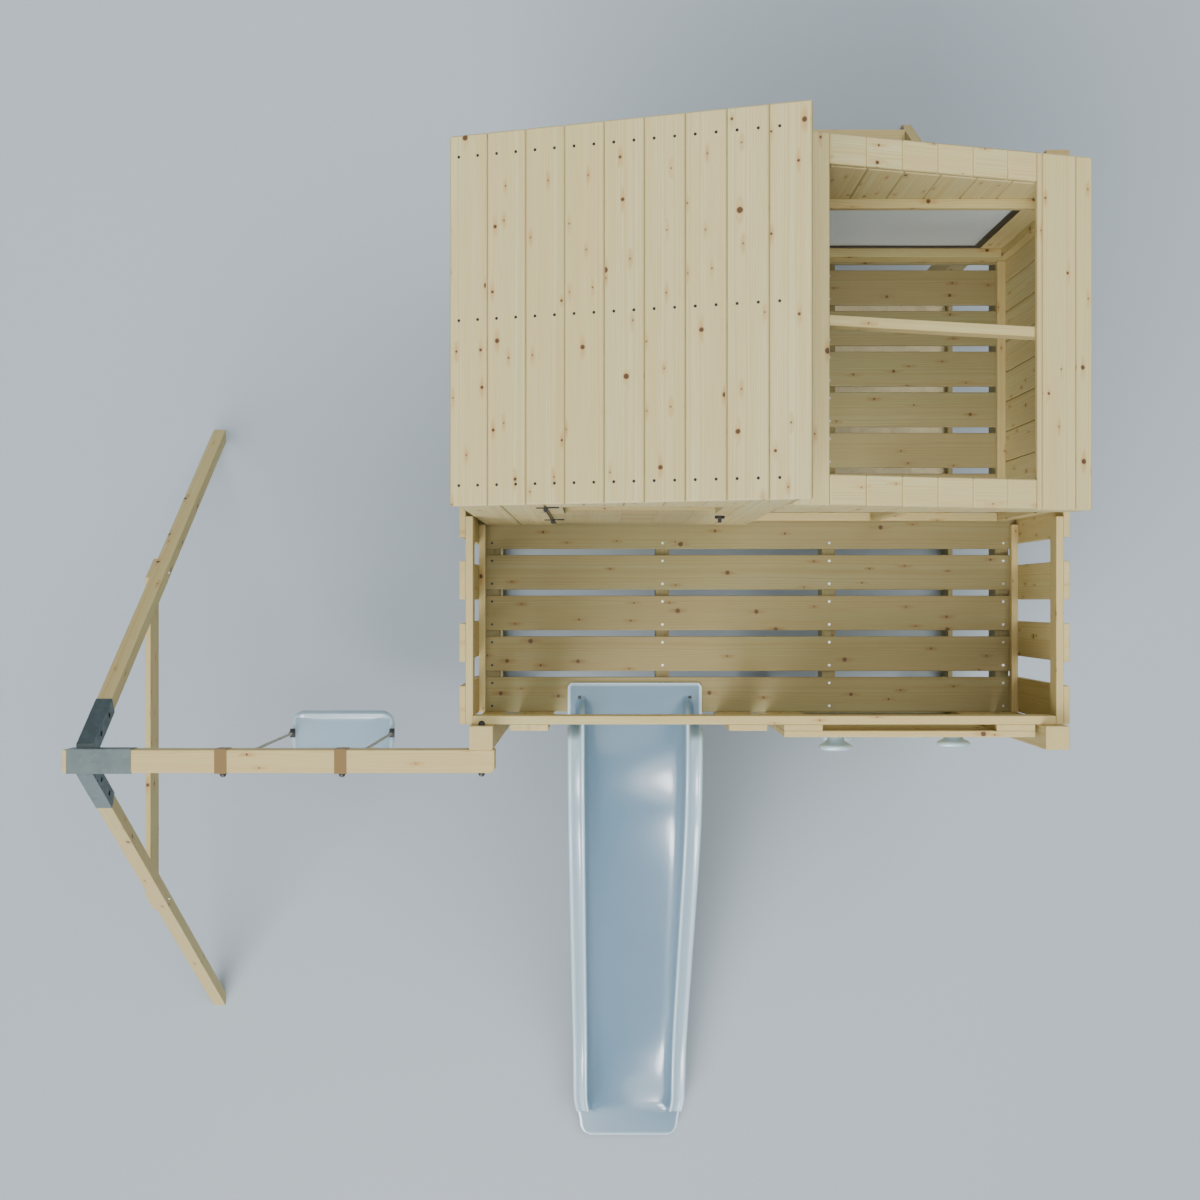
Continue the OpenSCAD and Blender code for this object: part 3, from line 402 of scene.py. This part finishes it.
def loose_sand(name, colour):
    """Dry sand with grains of several tones"""
    f = Finish(name)
    grit = f.noise(f.place(), 420.0, 3.0, 0.7)
    patch = f.noise(f.place(), 9.0, 3.0)
    base = f.mix(grit.above(0.35, 0.65), rgba(colour, 0.78), rgba(colour, 1.15))
    # Darker in broad random patches
    patchy_darkening = f.mix(patch.above(0.50, 0.75) * 0.35, base, rgba(colour, 0.62))
    return f.close(Base_Color=patchy_darkening, Roughness=0.9, Specular_IOR_Level=0.2, Normal=f.bump(grit, 0.002, 0.8))


def painted_floor(name, colour):
    """Matt paint with faint clouds"""
    f = Finish(name)
    mottle = f.noise(f.place(), 1.3, 3.0)
    base = f.mix(mottle * 0.3, rgba(colour), rgba(colour, 1.04))
    return f.close(Base_Color=base, Roughness=0.75)


FINISHES = {}


def make_finishes():
    c = colours()
    FINISHES.clear()
    FINISHES.update({
        "spruce": spruce("planed spruce", c.planed),
        # The lining boards get painted shade on their flanks, in the grooves
        "tongued_spruce": spruce("lining spruce", c.lining, 0.6),
        # Deck spruce carries painted shade in its darker colour
        "deck_spruce": spruce("deck spruce", c.deck),
        "blue_white_plastic": moulded_plastic("moulded plastic", c.plastic),
        "black_plastic": dull_plastic("black plastic"),
        "black_iron": coated_iron("black iron"),
        "black_screw": coated_iron("black screw"),
        "zinc": plated_steel("zinc plate", (0.62, 0.63, 0.64), 0.28, 220.0),
        "galvanised_steel": plated_steel("galvanised sheet", (0.12, 0.155, 0.16), 0.38, 60.0),
        "brown_strap": woven_webbing("webbing", c.webbing),
        "rope": laid_rope("laid rope", c.rope),
        "frosted_pane": frosted_acrylic("frosted acrylic"),
        "sand": loose_sand("loose sand", c.sand),
    })


# ---------------------------------------------------------------- shared mesh work

def box_of(node):
    """The low and the high corner of a CAD node's box"""
    low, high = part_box(node)
    return Vector(low), Vector(high)


def body_with(node):
    """The CAD body that a node belongs to"""
    for body, nodes in frame["record"]["behaviour"]["bodies"].items():
        if node in nodes:
            return body
    raise RuntimeError(f"no body holds {node}")


def finish_piece(bm, name, slot, body, nodes=(), smooth=False):
    """Turns a bmesh into a shown piece that rides on a body and stands for CAD nodes"""
    mesh = bpy.data.meshes.new(name)
    bm.to_mesh(mesh)
    bm.free()
    for polygon in mesh.polygons:
        polygon.use_smooth = smooth
    piece = bpy.data.objects.new(name, mesh)
    bpy.context.scene.collection.objects.link(piece)
    piece.data.materials.append(FINISHES[slot])
    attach(piece, body)
    if nodes:
        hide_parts(*nodes)
    return piece


def whole_copy(node):
    """A CAD node's mesh with its loose triangles joined and its flat faces made whole"""
    bm = bmesh.new()
    bm.from_mesh(frame["nodes"][node].data)
    bmesh.ops.remove_doubles(bm, verts=bm.verts, dist=1e-5)
    bmesh.ops.dissolve_limit(bm, angle_limit=math.radians(0.5), use_dissolve_boundaries=False,
                             verts=bm.verts, edges=bm.edges)
    return bm


def round_edges(bm, width, segments=2):
    """Rounds the edges that turn by more than 20 degrees"""
    limit = math.radians(20)
    edges = [e for e in bm.edges if len(e.link_faces) == 2 and e.calc_face_angle(0) > limit]
    bmesh.ops.bevel(bm, geom=edges, offset=width, offset_type="OFFSET", segments=segments, profile=0.5,
                    affect="EDGES", clamp_overlap=True, material=-1)


def soften(piece, width, segments):
    """Rounds a finished piece's sharp edges"""
    edge = piece.modifiers.new("edge", "BEVEL")
    edge.width = width
    edge.segments = segments
    edge.limit_method = "ANGLE"
    edge.angle_limit = math.radians(50)


def face_up(bm):
    """Makes the faces of an open sheet agree and look up"""
    bmesh.ops.recalc_face_normals(bm, faces=bm.faces)
    if sum(face.normal.z for face in bm.faces) < 0:
        bmesh.ops.reverse_faces(bm, faces=bm.faces)


def ramp(value, start, end):
    """0 before start and 1 after end, with a smooth step between them"""
    t = min(max((value - start) / (end - start), 0), 1)
    return t * t * (3 - 2 * t)


def corner(depth, radius):
    """How far a round corner lies inside its square one, at a depth from the end"""
    t = min(max(1 - depth / radius, 0), 1)
    return radius * (1 - math.sqrt(1 - t * t))


def islands(bm):
    """Lists of the vertices of each separate solid"""
    seen = set()
    for start in bm.verts:
        if start in seen:
            continue
        found = [start]
        seen.add(start)
        for vert in found:
            for edge in vert.link_edges:
                other = edge.other_vert(vert)
                if other not in seen:
                    seen.add(other)
                    found.append(other)
        yield found


def set_grain(bm, seed):
    """Gives each board its grain along its longest edge and its own tone, and marks its flanks"""
    draw = random.Random(seed)
    grain = bm.verts.layers.float_vector.new("grain")
    tone = bm.verts.layers.float.new("tone")
    flank = bm.verts.layers.float.new("flank")
    for verts in islands(bm):
        links = dict.fromkeys(e for v in verts for e in v.link_edges)
        edges = sorted(links, key=lambda e: -e.calc_length())
        along = (edges[0].verts[1].co - edges[0].verts[0].co).normalized()
        if max(along, key=abs) < 0:
            along.negate()
        wide = None
        for edge in edges:
            way = edge.verts[1].co - edge.verts[0].co
            if way.length > 0 and abs(way.normalized().dot(along)) < 0.3:
                wide = (way - along * way.dot(along)).normalized()
                break
        wide = wide or along.orthogonal().normalized()
        if max(wide, key=abs) < 0:
            wide.negate()
        thick = along.cross(wide)
        middle = sum((v.co for v in verts), Vector()) / len(verts)
        start = draw.uniform(0, 50)
        shift = draw.uniform(-0.02, 0.02)
        board_tone = draw.random()
        half = max(abs((v.co - middle).dot(wide)) for v in verts)
        for vert in verts:
            off = vert.co - middle
            vert[grain] = (off.dot(along) + start, off.dot(wide) + shift, off.dot(thick))
            vert[tone] = board_tone
            vert[flank] = float(abs(off.dot(wide)) > half - 0.0005)


def plane_timber(node, slot, width, segments=2):
    """Rounds a node's boards, gives each its own grain and shows them in the node's place"""
    bm = whole_copy(node)
    round_edges(bm, width, segments)
    set_grain(bm, node)
    finish_piece(bm, f"timber_{node}", slot, body_with(node), [node])


# ---------------------------------------------------------------- operators

class TOWER_OT_stage(bpy.types.Operator):
    """Sets the floor, the lights and the camera that looks straight down"""
    bl_idname = "tower.stage"
    bl_label = "Stage"

    def execute(self, context):
        self.floor(context.scene)
        self.world(context.scene)
        self.sun("key", (-12, 12), 2.3, 55)
        self.sun("fill", (37, -24), 3.1, 45)
        slide_low, slide_high = box_of("slide")
        aim = (slide_low + slide_high) / 2
        self.softbox("sheen_low", Vector((-1.1, -6.0, 1.5)), aim, (1.1, 2.4), 330)
        self.softbox("sheen_high", Vector((-0.9, -3.3, 4.4)), aim, (1.1, 1.5), 230)
        self.camera(context.scene)
        return {"FINISHED"}

    def floor(self, scene):
        bm = bmesh.new()
        bmesh.ops.create_grid(bm, x_segments=1, y_segments=1, size=15)
        mesh = bpy.data.meshes.new("floor")
        bm.to_mesh(mesh)
        bm.free()
        floor = bpy.data.objects.new("floor", mesh)
        floor.data.materials.append(painted_floor("floor paint", colours().floor))
        scene.collection.objects.link(floor)

    def world(self, scene):
        world = bpy.data.worlds.new("studio")
        world.use_nodes = True
        background = world.node_tree.nodes["Background"].inputs
        background["Color"].default_value = (0.84, 0.91, 1.0, 1)
        background["Strength"].default_value = 0.24
        scene.world = world

    def camera(self, scene):
        left_of_middle = 0.49
        behind_front = 0.3706
        low, high = box_of("deck_boards")
        camera = bpy.data.objects.new("camera", bpy.data.cameras.new("camera"))
        camera.data.lens = 50
        camera.data.sensor_width = 36
        camera.location = ((low.x + high.x) / 2 - left_of_middle, low.y + behind_front, sizes().camera_height)
        scene.collection.objects.link(camera)
        scene.camera = camera

    def sun(self, name, tilt, power, spread):
        """A far light with a tilt about X and Y and a spread, in degrees"""
        lamp = bpy.data.lights.new(name, "SUN")
        lamp.energy = power
        lamp.angle = math.radians(spread)
        lamp.color = (1.0, 0.975, 0.93)
        light = bpy.data.objects.new(name, lamp)
        light.rotation_euler = (math.radians(tilt[0]), math.radians(tilt[1]), 0)
        bpy.context.scene.collection.objects.link(light)

    def softbox(self, name, place, aim, size, power):
        """A soft box that is seen only as a sheen on glossy things"""
        lamp = bpy.data.lights.new(name, "AREA")
        lamp.shape = "ELLIPSE"
        lamp.size, lamp.size_y = size
        lamp.energy = power
        light = bpy.data.objects.new(name, lamp)
        light.location = place
        light.rotation_euler = (aim - place).to_track_quat("-Z", "Y").to_euler()
        light.visible_camera = False
        light.visible_diffuse = False
        bpy.context.scene.collection.objects.link(light)


class TOWER_OT_timber(bpy.types.Operator):
    """Planes the timber: rounds its edges and gives each board its own grain"""
    bl_idname = "tower.timber"
    bl_label = "Timber"

    def execute(self, context):
        for kind, nodes in TIMBER.items():
            width, segments = (sizes().groove, 1) if kind == "lining" else (sizes().edge, 2)
            for node in nodes:
                plane_timber(node, WOOD_SLOTS[kind], width, segments)
        return {"FINISHED"}


class TOWER_OT_door(bpy.types.Operator):
    """Makes the door from its boards and its frame, which is open at the top"""
    bl_idname = "tower.door"
    bl_label = "Door"

    def execute(self, context):
        for node, slot in (("door_boards", "tongued_spruce"), ("door_frame", "spruce")):
            plane_timber(node, slot, sizes().edge)
        return {"FINISHED"}


class TOWER_OT_sand(bpy.types.Operator):
    """Fills the pit between the boards under the playhouse with lumpy sand"""
    bl_idname = "tower.sand"
    bl_label = "Sand"

    def execute(self, context):
        board = 0.024
        level = 0.072
        lump = 0.016
        off_ground = 0.002
        low, high = box_of("sandpit_boards")
        low.y += board
        high.y -= board
        middle = (low + high) / 2
        half = (high - low) / 2
        bm = bmesh.new()
        bmesh.ops.create_grid(bm, x_segments=190, y_segments=110, size=1)
        for vert in bm.verts:
            x = middle.x + vert.co.x * half.x
            y = middle.y + vert.co.y * half.y
            lumps = noise.fractal(Vector((x * 9, y * 9, 0.3)), 0.7, 2.1, 4)
            vert.co = (x, y, level + lump * max(-1, min(1, lumps)))
        rim = [e for e in bm.edges if len(e.link_faces) == 1]
        for grown in bmesh.ops.extrude_edge_only(bm, edges=rim)["geom"]:
            if isinstance(grown, bmesh.types.BMVert):
                grown.co.z = off_ground
        bmesh.ops.recalc_face_normals(bm, faces=bm.faces)
        finish_piece(bm, "pit_sand", "sand", body_with("sandpit_boards"), smooth=True)
        return {"FINISHED"}


# Half of the slide's cross section from the middle outwards: part of the half width, part of the rim's
# height, and how strong the painted highlight (a paler colour) is there
SLIDE_SECTION = (
    (0, 0, 0), (0.10, 0.003, 0), (0.22, 0.014, 0), (0.34, 0.034, 0), (0.45, 0.060, 0), (0.54, 0.090, 0),
    (0.61, 0.125, 0.05), (0.66, 0.18, 0.12), (0.695, 0.27, 0.20), (0.716, 0.39, 0.26),
    (0.728, 0.56, 0.32), (0.737, 0.78, 0.42), (0.744, 0.93, 0.7),
    (0.756, 0.99, 1), (0.772, 1.0, 1), (0.788, 0.985, 0.8), (0.803, 0.955, 0.45), (0.835, 0.945, 0.42),
    (0.88, 0.945, 0.42), (0.915, 0.95, 0.5), (0.932, 0.965, 0.7), (0.95, 0.985, 0.9), (0.968, 0.975, 1),
    (0.985, 0.93, 0.9), (0.996, 0.84, 0.6), (1.0, 0.74, 0.5), (1.0, 0.62, 0.5))


class TOWER_OT_slide(bpy.types.Operator):
    """Sweeps the slide's channel with its rolled rims along the sliding surface"""
    bl_idname = "tower.slide"
    bl_label = "Slide"

    def execute(self, context):
        rows = 150
        end_gap = 0.001
        self.low, self.high = box_of("slide")
        deck_low, deck_high = box_of("deck_boards")
        self.front = deck_low.y
        self.middle = (self.low.x + self.high.x) / 2
        self.half = (self.high.x - self.low.x) / 2 - 0.0005
        self.top = deck_high.z + sizes().plastic_wall
        self.foot = 0.060
        back = self.high.y - end_gap
        step = (back - self.low.y - end_gap) / rows
        section = [(-x, z, m) for x, z, m in reversed(SLIDE_SECTION[1:])] + list(SLIDE_SECTION)
        bm = bmesh.new()
        rim_highlight = bm.verts.layers.float.new("rim_highlight")
        verts = [bm.verts.new((0, 0, 0)) for _ in section]
        edges = [bm.edges.new(pair) for pair in zip(verts, verts[1:])]
        self.lay(verts, section, back, rim_highlight)
        for k in range(1, rows + 1):
            grown = bmesh.ops.extrude_edge_only(bm, edges=edges)["geom"]
            new = {g for g in grown if isinstance(g, bmesh.types.BMVert)}
            verts = [next(e.other_vert(v) for e in v.link_edges if e.other_vert(v) in new) for v in verts]
            edges = [g for g in grown if isinstance(g, bmesh.types.BMEdge)
                     and g.verts[0] in new and g.verts[1] in new]
            self.lay(verts, section, back - k * step, rim_highlight)
        face_up(bm)
        slide = finish_piece(bm, "slide_channel", "blue_white_plastic", body_with("slide"), ["slide"], True)
        thick = slide.modifiers.new("wall", "SOLIDIFY")
        thick.thickness = sizes().plastic_wall - 0.001
        thick.offset = -1
        soften(slide, 0.0015, 2)
        self.feet()
        return {"FINISHED"}

    def bed(self, y):
        """Height of the sliding surface"""
        long_wave = 0.13
        short_wave = 0.02
        u = (self.front - y) / (self.front - self.low.y)
        if u <= 0:
            return self.top
        wave = long_wave * math.sin(2 * math.pi * u) + short_wave * math.sin(4 * math.pi * u)
        return self.foot + (self.top - self.foot) * (1 - u + wave)

    def lay(self, row, section, y, rim_highlight):
        """Places one cross section: flat at both ends, with the rims' inner walls rising before their tops"""
        back_radius = 0.016
        end_radius = 0.050
        skin = 0.0008
        from_back = self.high.y - y
        from_end = y - self.low.y
        narrowed = 0.028 * (1 - ramp(from_end, 0.04, 0.19))
        half = self.half - corner(from_back, back_radius) - corner(from_end, end_radius) - narrowed
        end_wall = ramp(from_end, 0.106, 0.126)
        inner = ramp(self.front + 0.052 - y, 0, 0.085) * end_wall
        outer = ramp(self.front - 0.022 - y, 0, 0.060) * end_wall
        at_edge = 1 - min(1, min(from_back, from_end) / 0.007)
        for vert, (x, z, pale) in zip(row, section):
            reach = abs(x)
            up = inner + (outer - inner) * ramp(reach, 0.79, 0.86)
            turned_down = 0.0006 * ramp(reach, 0.965, 1.0) * (1 - up)
            height = z * sizes().rim_height * up + skin - turned_down
            vert.co = (self.middle + x * half, y, self.bed(y) + height)
            # Painted highlight along the rims' tops, the bed's outer edges and the channel's ends
            edge = ramp(reach, 0.955, 0.975) * (1 - up)
            vert[rim_highlight] = max(pale * up, edge, at_edge)

    def feet(self):
        """The two plates that carry the slide's end"""
        tall = self.foot - 0.004
        from_end = 0.20
        bm = bmesh.new()
        for side in (-1, 1):
            made = bmesh.ops.create_cube(bm, size=1)["verts"]
            bmesh.ops.scale(bm, verts=made, vec=(0.006, 0.17, tall))
            place = (self.middle + side * self.half * 0.72, self.low.y + from_end, tall / 2)
            bmesh.ops.translate(bm, verts=made, vec=place)
        round_edges(bm, 0.002)
        finish_piece(bm, "slide_feet", "blue_white_plastic", body_with("slide"))


class TOWER_OT_holds(bpy.types.Operator):
    """Turns the climbing holds"""
    bl_idname = "tower.holds"
    bl_label = "Climbing holds"

    def execute(self, context):
        source = whole_copy("climbing_holds")
        places = []
        for verts in islands(source):
            low = Vector([min(v.co[k] for v in verts) for k in range(3)])
            high = Vector([max(v.co[k] for v in verts) for k in range(3)])
            places.append((Vector(((low.x + high.x) / 2, high.y, (low.z + high.z) / 2)), high - low))
        source.free()
        # Reach from the axis as part of the width, and distance from the wall as part of the depth
        profile = ((0.05, 0.0), (0.42, 0.0), (0.405, 0.06), (0.34, 0.16), (0.265, 0.27), (0.235, 0.40),
                   (0.245, 0.54), (0.31, 0.65), (0.42, 0.72), (0.485, 0.77), (0.50, 0.83), (0.485, 0.90),
                   (0.43, 0.955), (0.33, 0.985), (0.18, 0.99), (0.13, 0.975), (0.115, 0.93), (0.055, 0.93))
        bm = bmesh.new()
        rim_highlight = bm.verts.layers.float.new("rim_highlight")
        for place, size in places:
            old = set(bm.verts)
            verts = [bm.verts.new((r * size.x, -d * size.y, 0)) for r, d in profile]
            edges = [bm.edges.new(pair) for pair in zip(verts, verts[1:] + verts[:1])]
            bmesh.ops.spin(bm, geom=verts + edges, cent=(0, 0, 0), axis=(0, 1, 0), dvec=(0, 0, 0),
                           angle=2 * math.pi, steps=48, use_merge=True, use_duplicate=False)
            for vert in set(bm.verts) - old:
                turn = math.atan2(vert.co.z, vert.co.x)
                reach = math.hypot(vert.co.x, vert.co.z) / size.x
                squeeze = 1 - 0.035 * (1 - math.cos(5 * turn)) * max(0, reach - 0.2) / 0.3
                # Painted highlight: paler all over the holds, and more so towards their outer rims
                vert[rim_highlight] = 0.45 + 0.45 * ramp(reach, 0.40, 0.49)
                vert.co.x *= squeeze
                vert.co.z *= squeeze
                vert.co += place
        bmesh.ops.remove_doubles(bm, verts=bm.verts, dist=1e-6)
        bmesh.ops.recalc_face_normals(bm, faces=bm.faces)
        finish_piece(bm, "turned_holds", "blue_white_plastic", body_with("climbing_holds"),
                     ["climbing_holds"], True)
        return {"FINISHED"}


class TOWER_OT_swing(bpy.types.Operator):
    """Makes the swing's seat and its laid ropes"""
    bl_idname = "tower.swing"
    bl_label = "Swing"

    def execute(self, context):
        self.seat()
        pin_reach = 0.011
        clip_half = 0.009
        diameter = 0.010
        shackle_low, shackle_high = box_of("swing_shackles")
        clip_low, clip_high = box_of("seat_clips")
        y = (shackle_low.y + shackle_high.y) / 2
        ends = ((shackle_low.x + pin_reach, clip_low.x + clip_half),
                (shackle_high.x - pin_reach, clip_high.x - clip_half))
        for number, (top_x, low_x) in enumerate(ends):
            top = Vector((top_x, y, shackle_low.z + 0.002))
            low = Vector((low_x, y, clip_high.z - 0.004))
            rope = finish_piece(self.lay_rope(top, low, diameter), f"laid_rope_{number}", "rope", "swing",
                                ["swing_ropes"] if number == 0 else (), True)
        return {"FINISHED"}

    def lay_rope(self, top, low, diameter):
        """Three strands twisted about a straight line"""
        stations = 280
        strands = 3
        groove = 0.20
        way = (low - top) / stations
        turn = Matrix.Rotation(2 * math.pi * way.length / sizes().rope_lay, 3, "Z")
        bm = bmesh.new()
        ring = bmesh.ops.create_circle(bm, cap_ends=True, segments=18, radius=diameter / 2)["verts"]
        for vert in ring:
            lobe = abs(math.cos(strands / 2 * math.atan2(vert.co.y, vert.co.x)))
            vert.co *= 1 - groove + groove * lobe
        bmesh.ops.translate(bm, verts=ring, vec=top)
        face = bm.faces[:][0]
        spot = top.copy()
        for k in range(stations):
            grown = bmesh.ops.extrude_face_region(bm, geom=[face])["geom"]
            verts = [g for g in grown if isinstance(g, bmesh.types.BMVert)]
            new_face = next(g for g in grown if isinstance(g, bmesh.types.BMFace))
            if k > 0:
                bm.faces.remove(face)
            bmesh.ops.rotate(bm, verts=verts, cent=spot, matrix=turn)
            bmesh.ops.translate(bm, verts=verts, vec=way)
            spot = spot + way
            face = new_face
        bmesh.ops.recalc_face_normals(bm, faces=bm.faces)
        return bm

    def seat(self):
        """A dished seat with a softly rolled rim and round corners"""
        corner_radius = 0.046
        low, high = box_of("swing_seat")
        middle = (low + high) / 2
        half = (high - low) / 2
        bm = bmesh.new()
        bmesh.ops.create_grid(bm, x_segments=64, y_segments=32, size=1)
        rim_highlight = bm.verts.layers.float.new("rim_highlight")
        for vert in bm.verts:
            u, v = vert.co.x, vert.co.y
            width = half.y - corner(half.x * (1 - abs(u)), corner_radius)
            edge = max(abs(u) ** 3, abs(v) ** 3)
            near = min(half.x * (1 - abs(u)), width * (1 - abs(v)))
            rolled = 1 - ramp(near, 0.0, 0.012)
            rim = ramp(near, 0.0, 0.008) * (1 - ramp(near, 0.010, 0.028))
            top = high.z - 0.006 - 0.009 * (1 - edge) + 0.004 * rim - 0.012 * rolled
            vert.co = (middle.x + u * half.x, middle.y + v * width, min(top, high.z))
            at_ends = ramp(abs(u), 0.80, 0.97)
            # Painted highlight along the rolled rim, stronger at the seat's ends where it bends down
            vert[rim_highlight] = 0.30 + (0.30 + 0.40 * at_ends) * (1 - ramp(near, 0.006, 0.020))
        face_up(bm)
        rim_edges = [e for e in bm.edges if len(e.link_faces) == 1]
        skirt = bmesh.ops.extrude_edge_only(bm, edges=rim_edges)["geom"]
        fallen = [g for g in skirt if isinstance(g, bmesh.types.BMVert)]
        for vert in fallen:
            vert.co.z = low.z + 0.004
        bmesh.ops.holes_fill(bm, edges=[g for g in skirt if isinstance(g, bmesh.types.BMEdge)
                                        and len(g.link_faces) == 1], sides=0)
        bmesh.ops.recalc_face_normals(bm, faces=bm.faces)
        seat = finish_piece(bm, "moulded_seat", "blue_white_plastic", "swing", ["swing_seat"], True)
        soften(seat, 0.003, 3)


class TOWER_OT_fittings(bpy.types.Operator):
    """Gives the metal, plastic and strap fittings their finishes"""
    bl_idname = "tower.fittings"
    bl_label = "Fittings"

    def execute(self, context):
        for part in frame["record"]["subparts"]:
            node = frame["nodes"][part["node"]]
            finish = FINISHES[part["material_slot"]]
            if node.material_slots:
                for slot in node.material_slots:
                    slot.material = finish
            else:
                node.data.materials.append(finish)
        return {"FINISHED"}


class TOWER_PT_panel(bpy.types.Panel):
    """Lists the tower's steps, sizes and colours"""
    bl_idname = "TOWER_PT_panel"
    bl_label = "Play tower"
    bl_space_type = "VIEW_3D"
    bl_region_type = "UI"
    bl_category = "Play tower"

    def draw(self, context):
        for name in STEPS:
            self.layout.operator(f"tower.{name}")
        for group in (context.scene.tower_sizes, context.scene.tower_colours):
            box = self.layout.box()
            for key in group.__annotations__:
                box.prop(group, key)


STEPS = ("stage", "fittings", "timber", "door", "sand", "slide", "holds", "swing")
CLASSES = (TowerSizes, TowerColours, TOWER_OT_stage, TOWER_OT_timber, TOWER_OT_door, TOWER_OT_sand,
           TOWER_OT_slide, TOWER_OT_holds, TOWER_OT_swing, TOWER_OT_fittings, TOWER_PT_panel)


def register():
    for cls in CLASSES:
        bpy.utils.register_class(cls)
    bpy.types.Scene.tower_sizes = bpy.props.PointerProperty(type=TowerSizes)
    bpy.types.Scene.tower_colours = bpy.props.PointerProperty(type=TowerColours)


def unregister():
    del bpy.types.Scene.tower_colours
    del bpy.types.Scene.tower_sizes
    for cls in reversed(CLASSES):
        bpy.utils.unregister_class(cls)


def main():
    register()
    make_finishes()
    for name in STEPS:
        getattr(bpy.ops.tower, name)()
    bpy.context.view_layer.update()


if __name__ == "__main__":
    main()
